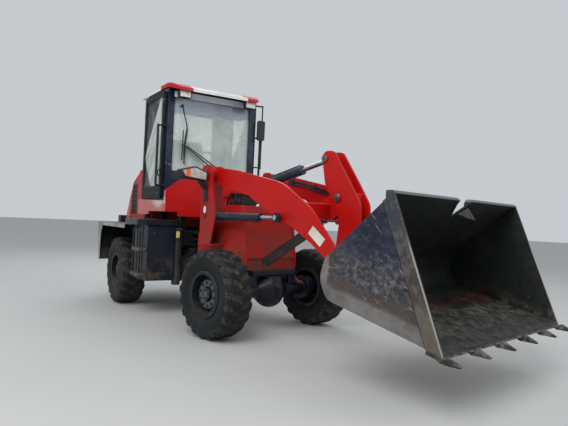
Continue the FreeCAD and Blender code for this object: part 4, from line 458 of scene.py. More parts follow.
# The platforms' light chips: partly real wear, partly painted highlights on their glossy edges
platform_black = painted("platform_black", tone(14, 17, 23), tone(32, 36, 44), 0.22, 0.3, 0.9, 1.0, 0.3, chip_tone=tone(120, 124, 126))
filter_grey = painted("filter_grey", tone(36, 40, 44), tone(56, 60, 62), 0.45, 0.4, 0.3, 0.8, 0.4, chip_tone=tone(86, 82, 74))
bucket_look = bucket_steel()
bucket_own = bucket_steel("bucket_steel_own", None)
edge_look = edge_steel()
lip_look = bare_metal("lip_steel", tone(36, 39, 38), tone(70, 71, 68), 0.5, 0.3, 0.7)
lift_rod_look = rod_finish("lift_rod_chrome", FRONT, (1.640, 1.178), 0.046)
tilt_rod_look = rod_finish("tilt_rod_chrome", FRONT, (1.855, 1.750), 0.046)
chrome = bare_metal("chrome", tone(214, 216, 218), tone(180, 182, 184), 0.16, 1.0, 0.25)
pin_steel = bare_metal("pin_steel", tone(132, 132, 132), tone(84, 82, 80), 0.4, 0.8, 0.4)
nut_steel = bare_metal("nut_steel", tone(52, 57, 64), tone(34, 37, 42), 0.5, 0.3, 0.5)
iron = bare_metal("engine_iron", tone(44, 44, 45), tone(28, 28, 28), 0.6, 0.4, 0.4)
valve_iron = bare_metal("valve_iron", tone(40, 41, 44), tone(60, 56, 52), 0.55, 0.4, 0.6)
tyre_rubber = rubber("tyre_rubber", 0.8)
dark_plastic = plastic("dark_plastic", tone(18, 20, 24), tone(36, 38, 42))
gasket = plastic("rubber_gasket", tone(12, 13, 15), tone(26, 27, 29), 0.6, 0.15)
hose = plastic("hose_rubber", tone(24, 25, 27), tone(48, 46, 44), 0.55, 0.5)
seat_look = vinyl()
headlining = plastic("pale_lining", tone(178, 184, 192), tone(150, 158, 170), 0.8, 0.2)
screen_glass = pane("screen_glass", tone(204, 220, 214), 0.34, 1.69, 0.62, strip=2.375, foot=1.690)
strip_look = sun_strip()
side_glass = pane("side_glass", tone(176, 190, 192), 0.12, 1.5, 0.40)
# The door's film, torn along two lines: (x, z) of a point, and the way across the line
film_lines = ((-1.060, 2.547, 0.795, -0.607), (-1.562, 1.830, 0.809, 0.588))
door_glass = pane("door_glass", tone(196, 206, 204), 0.10, 1.48, 0.25, film_lines)
lens = lamp_lens()
work = work_lens()
plate_white = plastic("blank_plate", tone(222, 220, 206), tone(196, 194, 180), 0.5, 0.2)
amber_plate = plastic("blank_yellow_plate", tone(206, 190, 92), tone(176, 160, 84), 0.5, 0.2)

NODE_LOOKS = {
    "tyre_": tyre_rubber, "rim_": rim_paint, "front_axle": axle_paint, "rear_axle": axle_paint, "rear_frame": black,
    "counterweight": black, "engine_block": iron, "hood": red_hood, "radiator_grille": black, "exhaust": iron,
    "rear_fenders": fender_paint, "fuel_tank": tank_paint, "hydraulic_tank": tank_paint, "steps": step_paint,
    "cab_base": red_cab, "cab_frame": cab_paint, "cab_roof": white, "windscreen": screen_glass,
    "cab_glass": side_glass, "door_glass_": door_glass, "door_left": door_paint, "door_right": door_paint,
    "seat": seat_look, "steering_": dark_plastic, "mirror_left": dark_plastic, "work_lamps": dark_plastic,
    "front_frame": red_front, "headlamps": dark_plastic, "lift_arms": red, "safety_strut": rusty, "bellcrank": red,
    "tilt_link": red_front, "bucket": bucket_look, "cutting_edge": edge_look, "lift_barrel_": barrel,
    "lift_rod_": lift_rod_look, "tilt_barrel": barrel, "tilt_rod": tilt_rod_look, "steer_barrel_": barrel,
    "steer_rod_": chrome, "roof_caps": red_cap, "side_platforms": platform_black, "oil_filter": filter_grey,
    "control_valve": valve_iron, "boom_pipes": barrel,
}
for node_name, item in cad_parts.items():
    for start, look in NODE_LOOKS.items():
        if node_name == start or (start.endswith("_") and node_name.startswith(start)):
            item.data.materials.clear()
            item.data.materials.append(look)
            break
    else:
        raise ValueError("no finish for " + node_name)


# Shapes: each piece is built into one bmesh and then placed in its own frame.

class Shape:
    def __init__(self):
        self.mesh = bmesh.new()

    def frame_on(self, start, along):
        """Axes at start whose z runs along a direction."""
        turn = Vector((0, 0, 1)).rotation_difference(Vector(along).normalized())
        return Matrix.Translation(start) @ turn.to_matrix().to_4x4()

    def lathe(self, start, along, profile, sides=24):
        """A turned form: profile gives (radius, distance along)."""
        place = self.frame_on(start, along)
        rings = []
        for radius, reach in profile:
            ring = []
            for index in range(sides):
                angle = 2 * math.pi * index / sides
                spot = Vector((radius * math.cos(angle), radius * math.sin(angle), reach))
                ring.append(self.mesh.verts.new(place @ spot))
            rings.append(ring)
        for one, two in zip(rings, rings[1:]):
            for index in range(sides):
                nxt = (index + 1) % sides
                self.mesh.faces.new((one[index], one[nxt], two[nxt], two[index]))
        if profile[0] != profile[-1]:
            self.mesh.faces.new(rings[0][::-1])
            self.mesh.faces.new(rings[-1])
        return self

    def ring(self, start, along, section, sides=32):
        """A turned ring: section is a closed outline of (radius, distance along)."""
        place = self.frame_on(start, along)
        rows = []
        for index in range(sides):
            angle = 2 * math.pi * index / sides
            rows.append([self.mesh.verts.new(place @ Vector((r * math.cos(angle), r * math.sin(angle), w)))
                         for r, w in section])
        count = len(section)
        for index in range(sides):
            one, two = rows[index], rows[(index + 1) % sides]
            for k in range(count):
                nxt = (k + 1) % count
                self.mesh.faces.new((one[k], two[k], two[nxt], one[nxt]))
        return self

    def rod(self, start, end, radius, sides=16):
        along = Vector(end) - Vector(start)
        length = along.length
        soft = min(radius * 0.2, length * 0.2)
        profile = [(radius - soft, 0), (radius, soft), (radius, length - soft), (radius - soft, length)]
        return self.lathe(start, along, profile, sides)

    def bolt(self, spot, along, size=0.010):
        """A washer with a chamfered hexagon head on it."""
        self.lathe(spot, along, [(size * 1.5, 0), (size * 1.5, size * 0.25), (size * 1.35, size * 0.3)], 20)
        head = [(size, size * 0.3), (size, size * 1.0), (size * 0.82, size * 1.2)]
        return self.lathe(spot, along, head, 6)

    def tube(self, path, radius, sides=10, smooth=6, closed=False):
        """A round tube along a smooth line through the points."""
        points = [Vector(p) for p in path]
        line = []
        count = len(points)
        last = count if closed else count - 1
        for index in range(last):
            if closed:
                p0, p1, p2, p3 = (points[(index + k) % count] for k in (-1, 0, 1, 2))
            else:
                p0 = points[max(index - 1, 0)]
                p1, p2 = points[index], points[index + 1]
                p3 = points[min(index + 2, count - 1)]
            for part in range(smooth):
                t = part / smooth
                line.append(0.5 * (2 * p1 + (p2 - p0) * t + (2 * p0 - 5 * p1 + 4 * p2 - p3) * t * t
                                   + (3 * p1 - p0 - 3 * p2 + p3) * t ** 3))
        if not closed:
            line.append(points[-1])
        rings = []
        side = None
        for index, spot in enumerate(line):
            ahead = line[(index + 1) % len(line)] if closed or index + 1 < len(line) else spot
            back = line[index - 1] if closed or index else spot
            along = (ahead - back).normalized()
            if side is None:
                side = along.orthogonal().normalized()
            side = (side - along * side.dot(along)).normalized()
            other = along.cross(side)
            ring = []
            for k in range(sides):
                angle = 2 * math.pi * k / sides
                ring.append(self.mesh.verts.new(spot + (side * math.cos(angle) + other * math.sin(angle)) * radius))
            rings.append(ring)
        pairs = list(zip(rings, rings[1:]))
        if closed:
            pairs.append((rings[-1], rings[0]))
        for one, two in pairs:
            for k in range(sides):
                nxt = (k + 1) % sides
                self.mesh.faces.new((one[k], one[nxt], two[nxt], two[k]))
        if not closed:
            self.mesh.faces.new(rings[0][::-1])
            self.mesh.faces.new(rings[-1])
        return self

    def plate(self, corners, thick):
        """A flat outline in space, given its thickness as a vector."""
        thick = Vector(thick)
        low = [self.mesh.verts.new(Vector(c)) for c in corners]
        high = [self.mesh.verts.new(Vector(c) + thick) for c in corners]
        self.mesh.faces.new(low[::-1])
        self.mesh.faces.new(high)
        count = len(low)
        for index in range(count):
            nxt = (index + 1) % count
            self.mesh.faces.new((low[index], low[nxt], high[nxt], high[index]))
        return self

    def block(self, low, high):
        x0, y0, z0 = low
        x1, y1, z1 = high
        return self.plate([(x0, y0, z0), (x1, y0, z0), (x1, y1, z0), (x0, y1, z0)], (0, 0, z1 - z0))

    def loop(self, corners, width, depth, inward):
        """A square-edged moulding round a flat outline, such as a window's rubber."""
        inward = Vector(inward)
        middle = sum((Vector(c) for c in corners), Vector()) / len(corners)
        rows = []
        for corner in corners:
            corner = Vector(corner)
            reach = (middle - corner)
            reach -= inward * reach.dot(inward)
            step = reach.normalized() * width
            rows.append([self.mesh.verts.new(p) for p in (
                corner, corner + step, corner + step + inward * depth, corner + inward * depth)])
        count = len(rows)
        for index in range(count):
            one, two = rows[index], rows[(index + 1) % count]
            for k in range(4):
                nxt = (k + 1) % 4
                self.mesh.faces.new((one[k], one[nxt], two[nxt], two[k]))
        return self

    def finish(self, name, body, looks, place=REAR, bevel=0.0, smooth=True, parts=()):
        bmesh.ops.recalc_face_normals(self.mesh, faces=self.mesh.faces)
        mesh = bpy.data.meshes.new(name)
        self.mesh.to_mesh(mesh)
        self.mesh.free()
        item = bpy.data.objects.new(name, mesh)
        scene.collection.objects.link(item)
        item.matrix_world = place
        mesh.materials.append(looks)
        if smooth:
            mesh.shade_smooth()
            mesh.set_sharp_from_angle(angle=math.radians(38))
        if bevel:
            soft = item.modifiers.new("Bevel", "BEVEL")
            soft.width = bevel
            soft.segments = 2
            soft.limit_method = "ANGLE"
            soft.angle_limit = math.radians(38)
            soft.harden_normals = False
        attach(item, body)
        if parts:
            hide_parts(*parts)
        return item


def round_box(u0, u1, v0, v1, radius, steps=5):
    """Corners of a rectangle with round corners, anticlockwise."""
    out = []
    for u, v, start in ((u1, v0, -90), (u1, v1, 0), (u0, v1, 90), (u0, v0, 180)):
        cu = u + (radius if u == u0 else -radius)
        cv = v + (radius if v == v0 else -radius)
        for index in range(steps + 1):
            angle = math.radians(start + 90 * index / steps)
            out.append((cu + radius * math.cos(angle), cv + radius * math.sin(angle)))
    return out


# Tyres: a dense skin whose height makes the chevron lugs, with mud packed between.

def tyre_profile():
    """Half of the section, (radius, distance from the middle), crown first."""
    return [
        (0.425, 0.000), (0.425, 0.050), (0.425, 0.096), (0.419, 0.1115), (0.413, 0.1268), (0.404, 0.1390),
        (0.393, 0.1485), (0.365, 0.1530), (0.335, 0.1550), (0.305, 0.1545), (0.280, 0.148), (0.262, 0.140),
        (0.250, 0.136), (0.243, 0.134), (0.236, 0.130), (0.225, 0.1235), (0.2055, 0.121),
    ]


def make_tyre_mesh(seed, facing, wall_mud):
    mesh = bmesh.new()
    mud = mesh.verts.layers.float.new("mud")
    half = []
    profile = tyre_profile()
    for one, two in zip(profile, profile[1:]):
        parts = 4 if one[0] > 0.39 else 2
        for part in range(parts):
            t = part / parts
            half.append((one[0] + (two[0] - one[0]) * t, one[1] + (two[1] - one[1]) * t))
    half.append(profile[-1])
    section = [(r, -w) for r, w in reversed(half[1:])] + half
    around = 384
    pitch = math.pi * 0.85 / 20
    rings = []
    for index in range(around):
        angle = 2 * math.pi * index / around
        ring = []
        for radius, width in section:
            side = 1 if width >= 0 else -1
            # Grooves as in the CAD tyre: half a pitch apart, and trailing towards the shoulder
            along = facing * 0.425 * (math.pi / 2 - angle)
            trail = 0.035 - 0.070 * (abs(width) - 0.014) / 0.1575
            away = (along - facing * side * pitch / 4 - trail) / pitch
            gap = abs((away + 0.5) % 1.0 - 0.5) * pitch
            lug = max(0.0, min(1.0, (gap - 0.027) / 0.010))
            reach = max(0.0, min(1.0, (radius - 0.352) / 0.03)) * (1 if abs(width) > 0.012 else 0.2)
            lug *= reach
            spot = Vector((math.cos(angle) * 9, math.sin(angle) * 9, width * 22 + seed))
            clod = noise.fractal(spot * 1.6, 0.8, 2.1, 5) * 0.5 + 0.5
            packed = max(0.0, min(1.0, (1 - lug) * (0.35 + 0.9 * clod)))
            sunk = 0.024 * (1 - lug) * reach * (1 - 0.5 * packed)
            lumps = noise.noise(spot * 3.5) * 0.0028 * (1.0 if radius > 0.36 else 0.35)
            ribs = 0.0016 if 0.268 < radius < 0.276 or 0.316 < radius < 0.322 else 0.0
            drop = sunk + 0.003 - min(lumps, 0.0025) - ribs
            slope = max(0.0, min(1.0, (abs(width) - 0.10) / 0.05))
            r = radius - drop * (1 - slope * 0.75)
            w = width - side * drop * slope
            vertex = mesh.verts.new((r * math.cos(angle), w, r * math.sin(angle)))
            vertex[mud] = packed * (0.9 if radius > 0.36 else wall_mud) + (0.15 if radius > 0.36 else 0.0)
            ring.append(vertex)
        rings.append(ring)
    for index in range(around):
        one, two = rings[index], rings[(index + 1) % around]
        for k in range(len(section) - 1):
            mesh.faces.new((one[k], one[k + 1], two[k + 1], two[k]))
    bmesh.ops.recalc_face_normals(mesh, faces=mesh.faces)
    data = bpy.data.meshes.new("tyre_skin")
    mesh.to_mesh(data)
    mesh.free()
    data.shade_smooth()
    data.materials.append(tyre_rubber)
    return data


def wheels():
    for end, x, place in (("front", 1.062, FRONT), ("rear", -1.091, REAR)):
        for side, name in SIDES:
            centre = place @ Matrix.Translation((x, side * 0.687, 0.425))
            if side < 0:
                centre = centre @ Matrix.Rotation(math.pi, 4, "Z")
            body = f"wheel_{end}_{name}"
            data = make_tyre_mesh(3.1 * x + side, side, 0.15 if end == "front" else 0.5)
            item = bpy.data.objects.new(f"tyre_skin_{end}_{name}", data)
            scene.collection.objects.link(item)
            item.matrix_world = centre
            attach(item, body)
            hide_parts(f"tyre_{end}_{name}")
            face = Shape()
            plate = [(0.070, 0.062), (0.070, 0.080), (0.078, 0.088), (0.130, 0.088), (0.137, 0.082), (0.137, 0.062)]
            face.ring((0, 0, 0), (0, 1, 0), plate, 48)
            face.finish(f"hub_face_{end}_{name}", body, hub_paint, centre)
            nuts = Shape()
            for index in range(10):
                angle = 2 * math.pi * index / 10 + 0.2
                spot = (0.110 * math.cos(angle), 0.088, 0.110 * math.sin(angle))
                nuts.bolt(spot, (0, 1, 0), 0.011)
                nuts.rod(spot, (spot[0], 0.108, spot[2]), 0.007, 10)
            for index in range(6):
                angle = 2 * math.pi * index / 6
                dip = (0.158 * math.cos(angle), 0.036, 0.158 * math.sin(angle))
                nuts.ring(dip, (0, 1, 0), [(0.017, 0), (0.017, 0.004), (0.012, 0.005), (0.012, 0)], 16)
            edge = [(0.215, 0.1353), (0.221, 0.1353), (0.2235, 0.1320), (0.2215, 0.1275), (0.216, 0.1345)]
            nuts.ring((0, 0, 0), (0, 1, 0), edge, 72)
            nuts.finish(f"wheel_nuts_{end}_{name}", body, nut_steel, centre)
            cap = Shape()
            for index in range(6):
                angle = 2 * math.pi * index / 6 + 0.3
                spot = (0.045 * math.cos(angle), 0.108, 0.045 * math.sin(angle))
                cap.bolt(spot, (0, 1, 0), 0.006)
            cap.lathe((0, 0.106, 0), (0, 1, 0), [(0.030, 0), (0.030, 0.006), (0.024, 0.009)], 24)
            cap.finish(f"hub_cap_{end}_{name}", "front_frame" if end == "front" else "chassis", hub_paint, centre)


# Cab: rubbers, wipers, lamps, lining and handles.

def wall_points(corners, level, plane):
    """Flat outline corners set on an upright plane: 'x' faces ahead and 'y' faces sideways."""
    if plane == "x":
        return [(level, u, v) for u, v in corners]
    return [(u, level, v) for u, v in corners]


def cab():
    seals = Shape()
    seals.loop(wall_points(round_box(-0.503, 0.503, 1.572, 2.548, 0.043), -0.099, "x"), 0.012, 0.008, (-1, 0, 0))
    seals.loop(wall_points(round_box(-0.405, 0.405, 1.827, 2.533, 0.043), -1.001, "x"), 0.018, 0.008, (1, 0, 0))
    seals.finish("window_rubbers", "chassis", gasket, bevel=0.002)
    for side, name in SIDES:
        rubbers = Shape()
        level = side * 0.6115
        outline = round_box(-0.785, -0.185, 1.477, 2.555, 0.033)
        rubbers.loop(wall_points(outline, level, "y"), 0.018, 0.006, (0, -side, 0))
        rubbers.finish(f"door_rubber_{name}", f"door_{name}", gasket, bevel=0.002)
        lever = Shape()
        lever.plate(wall_points(round_box(-0.179, -0.149, 1.58, 1.70, 0.012), side * 0.611, "y"), (0, side * 0.006, 0))
        lever.tube([(-0.164, side * 0.618, 1.60), (-0.164, side * 0.636, 1.62), (-0.164, side * 0.638, 1.66),
                    (-0.164, side * 0.618, 1.685)], 0.007)
        lever.finish(f"door_lever_{name}", f"door_{name}", dark_plastic, bevel=0.001)
    lining = Shape()
    lining.plate([(-0.945, -0.41, 2.600), (-0.820, -0.52, 2.600), (-0.150, -0.52, 2.600), (-0.150, 0.52, 2.600),
                  (-0.820, 0.52, 2.600), (-0.945, 0.41, 2.600)], (0, 0, 0.011))
    lining.plate([(-0.155, -0.50, 2.44), (-0.155, 0.50, 2.44), (-0.165, 0.50, 2.599), (-0.165, -0.50, 2.599)], (-0.008, 0, 0))
    lining.finish("cab_lining", "chassis", headlining, bevel=0.003)
    # The header's film plate, painted pale as painted light
    band = Shape()
    band.plate(wall_points(round_box(-0.500, 0.500, 2.534, 2.606, 0.012), -0.0992, "x"), (0.0045, 0, 0))
    band.finish("screen_top_band", "chassis", strip_look, bevel=0.001)
    crease = Shape()
    crease.plate([(-0.0572, -0.566, 1.3155), (-0.0572, 0.566, 1.3155), (-0.0572, 0.566, 1.3215), (-0.0572, -0.566, 1.3215)],
                 (0.0016, 0, 0))
    crease.finish("cowl_seam", "chassis", gasket)
    for side, name in SIDES:
        grip = Shape()
        grip.tube([(-0.118, side * 0.672, 1.500), (-0.118, side * 0.672, 1.700), (-0.118, side * 0.672, 1.980),
                   (-0.118, side * 0.672, 2.184)], 0.0145, 12, 3)
        grip.finish(f"handle_grip_{name}", "chassis", gasket)
        locker = Shape()
        plan = [(-0.990, side * 0.461), (-0.852, side * 0.573), (-0.852, side * 0.597), (-0.990, side * 0.597)]
        locker.plate([(x, y, 1.3385) for x, y in plan], (0, 0, 0.372))
        locker.block((-0.970, side * 0.597 - 0.001, 1.365), (-0.872, side * 0.597 + 0.001, 1.685))
        locker.finish(f"side_locker_{name}", "chassis", red, bevel=0.005)
    wipers()


def wipers():
    arms = Shape()
    glass = -0.094
    # Upright wiper hung from its motor at the top, and a long pair from below
    top = (glass + 0.024, -0.404, 2.44)
    elbow = (glass + 0.016, -0.335, 2.17)
    arms.rod(top, (glass - 0.02, -0.404, 2.44), 0.016)
    arms.tube([top, (glass + 0.02, -0.385, 2.36), elbow, (glass + 0.012, -0.36, 1.95)], 0.0075)
    arms.tube([(glass + 0.010, -0.335, 2.19), (glass + 0.010, -0.36, 1.97), (glass + 0.008, -0.350, 1.76)], 0.007)
    arms.plate([(glass, -0.330, 2.20), (glass, -0.338, 2.20), (glass, -0.358, 1.76), (glass, -0.350, 1.76)], (0.012, 0, 0))
    arms.finish("wiper_right", "chassis", gasket)
    pair = Shape()
    for start, end in (((-0.373, 1.985), (-0.046, 1.775)), ((-0.325, 1.972), (0.055, 1.755))):
        pair.tube([(glass + 0.02, *start), (glass + 0.022, (start[0] + end[0]) / 2, (start[1] + end[1]) / 2),
                   (glass + 0.02, *end)], 0.007)
    pair.rod((glass + 0.03, 0.06, 1.752), (glass - 0.005, 0.06, 1.752), 0.014)
    pair.rod((glass + 0.03, -0.04, 1.77), (glass - 0.005, -0.04, 1.77), 0.014)
    pair.plate([(glass, -0.378, 1.80), (glass, -0.386, 1.80), (glass, -0.382, 2.16), (glass, -0.374, 2.16)], (0.012, 0, 0))
    pair.rod((glass + 0.024, -0.378, 1.985), (glass + 0.002, -0.380, 1.985), 0.008)
    pair.finish("wiper_pair", "chassis", gasket)


def lamps():
    for side, name in SIDES:
        inner, outer = side * 0.352, side * 0.499
        low, high = min(inner, outer), max(inner, outer)
        face = Shape()
        face.plate([(0.0521, y, z) for y, z in round_box(low + 0.008, high - 0.008, 2.518, 2.589, 0.008)], (0.004, 0, 0))
        face.finish(f"work_lens_{name}", "chassis", work, bevel=0.002)
        guard = Shape()
        guard.loop([(0.0521, y, z) for y, z in round_box(low, high, 2.510, 2.597, 0.012)], 0.009, 0.008, (1, 0, 0))
        guard.block((0.010, (low + high) / 2 - 0.02, 2.500), (0.040, (low + high) / 2 + 0.02, 2.511))
        guard.bolt((0.020, low + 0.03, 2.510), (0, 0, -1), 0.005)
        guard.finish(f"work_lamp_rim_{name}", "chassis", dark_plastic, bevel=0.001)
        glass = Shape()
        points = [(0.557, 1.536), (0.800, 1.556), (0.846, 1.612), (0.690, 1.656), (0.553, 1.610)]
        glass.plate([(0.6381, side * y, z) for y, z in points], (0.006, 0, 0))
        glass.finish(f"headlamp_lens_{name}", "front_frame", lens, FRONT, bevel=0.006)
        trim = Shape()
        points = [(0.540, 1.527), (0.830, 1.549), (0.868, 1.616), (0.688, 1.666), (0.540, 1.616)]
        trim.loop([(0.638, side * y, z) for y, z in points], 0.012, 0.010, (1, 0, 0))
        trim.finish(f"headlamp_rim_{name}", "front_frame", dark_plastic, FRONT, bevel=0.002)


# Boom and front frame: pins, bolts, cover plates and blank plates.

def pin_end(shape, x, y, z, side, radius):
    """A pin's end: keeper plate, grease nipple and two bolts."""
    shape.lathe((x, y, z), (0, side, 0), [(radius, 0), (radius, 0.006), (radius * 0.86, 0.009)], 28)
    shape.bolt((x, y + side * 0.008, z), (0, side, 0), radius * 0.24)
    shape.rod((x + radius * 0.55, y, z), (x + radius * 0.55, y + side * 0.02, z), 0.004, 8)


def boom():
    tower = Shape()
    arms = Shape()
    crank = Shape()
    bucket = Shape()
    for side, name in SIDES:
        pin_end(tower, 0.575, side * 0.532, 1.612, side, 0.040)
        pin_end(arms, 2.032, side * 0.092, 1.386, side, 0.036)
        pin_end(crank, 1.855, side * 0.088, 1.750, side, 0.034)
        pin_end(crank, 2.060, side * 0.088, 0.775, side, 0.034)
        pin_end(bucket, 2.512, side * 0.451, 0.655, side, 0.038)
        pin_end(bucket, 2.650, side * 0.065, 1.000, side, 0.032)
        for x, z in ((0.470, 0.70), (0.640, 0.70), (0.470, 0.80), (0.640, 0.80), (0.980, 0.70), (0.980, 0.82)):
            tower.bolt((x, side * 0.352, z), (0, side, 0), 0.011)
    tower.finish("tower_pins", "front_frame", pin_steel, FRONT)
    saddle = Shape()
    saddle.plate([(0.965, -0.300, 0.585), (1.160, -0.300, 0.585), (1.160, 0.300, 0.585), (0.965, 0.300, 0.585)], (0, 0, 0.0545))
    saddle.block((0.985, -0.110, 0.560), (1.140, 0.110, 0.586))
    saddle.finish("axle_saddle", "front_frame", axle_paint, FRONT, bevel=0.008)
    hook = Shape()
    hook.tube([(1.075, 0.330, 0.642), (1.090, 0.334, 0.580), (1.115, 0.342, 0.530), (1.155, 0.356, 0.500), (1.195, 0.370, 0.502)],
              0.014, 10, 4)
    hook.finish("frame_hook", "front_frame", red_front, FRONT)
    arms.finish("arm_pins", "boom", pin_steel, FRONT)
    crank.finish("bellcrank_pins", "bellcrank", pin_steel, FRONT)
    bucket.finish("bucket_pins", "bucket", pin_steel, FRONT)
    for side, name in SIDES:
        oval = Shape()
        points = []
        for index in range(24):
            angle = 2 * math.pi * index / 24
            points.append((0.590 + 0.021 * math.cos(angle), side * 0.5181, 1.228 + 0.040 * math.sin(angle)))
        oval.plate(points, (0, side * 0.005, 0))
        oval.finish(f"tower_reflector_{name}", "front_frame", plate_white, FRONT, bevel=0.001)
        sign = Shape()
        corners = [(2.003, 1.055), (2.058, 1.122), (2.202, 1.015), (2.147, 0.948)]
        sign.plate([(x, side * 0.4182, z) for x, z in corners], (0, side * 0.0015, 0))
        sign.finish(f"arm_blank_plate_{name}", "boom", plate_white, FRONT)


# Hood, tanks and the machine's tail.

def tail():
    louvres = Shape()
    for side in (-1, 1):
        for index in range(6):
            low = 1.150 + index * 0.06833
            x0 = -1.712 + 0.01167 * index
            louvres.plate([(x0 + 0.002, side * 0.467, low + 0.006), (-1.452, side * 0.467, low + 0.006),
                           (-1.452, side * 0.478, low + 0.042), (x0 + 0.002, side * 0.478, low + 0.042)], (0, -side * 0.003, 0.002))
    louvres.finish("hood_louvres", "chassis", dark_plastic)
    label = Shape()
    for index in range(7):
        label.plate([(-0.088 + 0.0508 * math.sin(a), -0.386 - 0.0508 * math.cos(a), 0.895) for a in
                     (0.85 + 0.12 * index, 0.97 + 0.12 * index)] +
                    [(-0.088 + 0.0498 * math.sin(a), -0.386 - 0.0498 * math.cos(a), 0.895) for a in
                     (0.97 + 0.12 * index, 0.85 + 0.12 * index)], (0, 0, 0.075))
    label.finish("filter_blank_plate", "chassis", amber_plate)
    detail = Shape()
    for side in (-1, 1):
        for x in (-1.20, -1.78):
            detail.bolt((x, side * 0.480, 1.06), (0, side, 0), 0.008)
            detail.bolt((x, side * 0.480, 1.11), (0, side, 0), 0.008)
        for z in (1.20, 1.45, 1.70):
            detail.lathe((-1.185, side * 0.480, z), (0, side, 0), [(0.014, 0), (0.014, 0.003), (0.006, 0.004)], 16)
    detail.finish("hood_bolts", "chassis", pin_steel)
    flanges = Shape()
    arc = [(-1.886, 1.017), (-1.784, 0.503), (-1.715, 0.503), (-1.738, 0.62), (-1.742, 0.74), (-1.715, 0.86),
           (-1.668, 0.95), (-1.600, 1.017)]
    for side in (-1, 1):
        flanges.plate([(x, side * 0.8805, z) for x, z in arc], (0, -side * 0.004, 0))
    flanges.finish("fender_flanges", "chassis", flange_look, bevel=0.001)
    rear = Shape()
    for side in (-1, 1):
        for index in range(3):
            rear.bolt((-2.160, side * (0.30 + 0.05 * index), 0.95), (-1, 0, 0), 0.011)
        for x in (-0.20, -0.38):
            rear.lathe((x, side * 0.7605, 1.0), (0, side, 0), [(0.012, 0), (0.012, 0.006), (0.008, 0.008)], 14)
    rear.finish("counterweight_bolts", "chassis", pin_steel)
    for side, name in SIDES:
        ribs = Shape()
        for x in (-0.215, -0.415):
            ribs.block((x - 0.012, side * 0.760 if side < 0 else 0.760, 0.44),
                       (x + 0.012, side * 0.760 + side * 0.006, 1.02))
        ribs.finish(f"tank_bands_{name}", "chassis", tank_paint, bevel=0.002)


# Seat: two padded cushions, puffed by a short cloth run and seamed afterwards.

def cushion(name, corners, thick, cap, channels):
    """A crowned pad drawn on a flat outline of rounded corners, stood in its place."""
    origin, across, up, face, width, height = corners
    shape = bmesh.new()
    steps = 18
    rows = {}
    for layer in (0, 1):
        for i in range(steps + 1):
            for j in range(steps + 1):
                if layer == 1 and (i in (0, steps) or j in (0, steps)):
                    rows[layer, i, j] = rows[0, i, j]
                    continue
                u, v = i / steps * 2 - 1, j / steps * 2 - 1
                pull = 1 - 0.05 * (u * u * v * v) - 0.02 * (abs(u * v))
                crown = (1 - abs(u) ** 3.2) ** 0.5 * (1 - abs(v) ** 3.2) ** 0.5
                lift = thick * (0.18 + 0.82 * crown) if layer else -thick * 0.25 * crown
                spot = origin + across * (u * pull * width / 2) + up * (v * pull * height / 2) + face * lift
                rows[layer, i, j] = shape.verts.new(spot)
    for layer in (0, 1):
        for i in range(steps):
            for j in range(steps):
                quad = [rows[layer, i, j], rows[layer, i + 1, j], rows[layer, i + 1, j + 1], rows[layer, i, j + 1]]
                shape.faces.new(quad if layer else quad[::-1])
    bmesh.ops.recalc_face_normals(shape, faces=shape.faces)
    data = bpy.data.meshes.new(name)
    shape.to_mesh(data)
    shape.free()
    item = bpy.data.objects.new(name, data)
    scene.collection.objects.link(item)
    puff(item, cap)
    # Sewn channels come after the cloth run, because the remesh would close them
    for vertex in item.data.vertices:
        local = vertex.co - origin
        u = local.dot(across) / (width / 2)
        if local.dot(face) > thick * 0.2 and abs(u) < 0.86:
            for line in channels:
                gap = abs(local.dot(up) / (height / 2) - line) * height / 2
                vertex.co -= face * 0.009 * math.exp(-(gap / 0.007) ** 2)
    soft = item.modifiers.new("Round", "SUBSURF")
    soft.levels = soft.render_levels = 1
    item.data.shade_smooth()
    item.matrix_world = REAR
    item.data.materials.append(seat_look)
    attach(item, "chassis")
    return item


def puff(item, cap):
    """Inflates a pad for twenty frames, and lets no point move further than the cap."""
    scene.frame_start, scene.frame_end = 1, 20
    remesh = item.modifiers.new("Remesh", "REMESH")
    remesh.mode = "VOXEL"
    remesh.voxel_size = 0.008
    bpy.context.view_layer.update()
    graph = bpy.context.evaluated_depsgraph_get()
    item.data = bpy.data.meshes.new_from_object(item.evaluated_get(graph))
    item.modifiers.clear()
    start = [vertex.co.copy() for vertex in item.data.vertices]
    cloth = item.modifiers.new("Cloth", "CLOTH")
    cloth.settings.quality = 5
    cloth.settings.use_pressure = True
    cloth.settings.uniform_pressure_force = 4
    cloth.settings.effector_weights.gravity = 0
    for number in range(1, 21):
        scene.frame_set(number)
    graph = bpy.context.evaluated_depsgraph_get()
    moved = bpy.data.meshes.new_from_object(item.evaluated_get(graph))
    scene.frame_set(1)
    item.modifiers.clear()
    for vertex, old, new in zip(item.data.vertices, start, moved.vertices):
        push = new.co - old
        if push.length > cap:
            push = push.normalized() * cap
        vertex.co = old + push


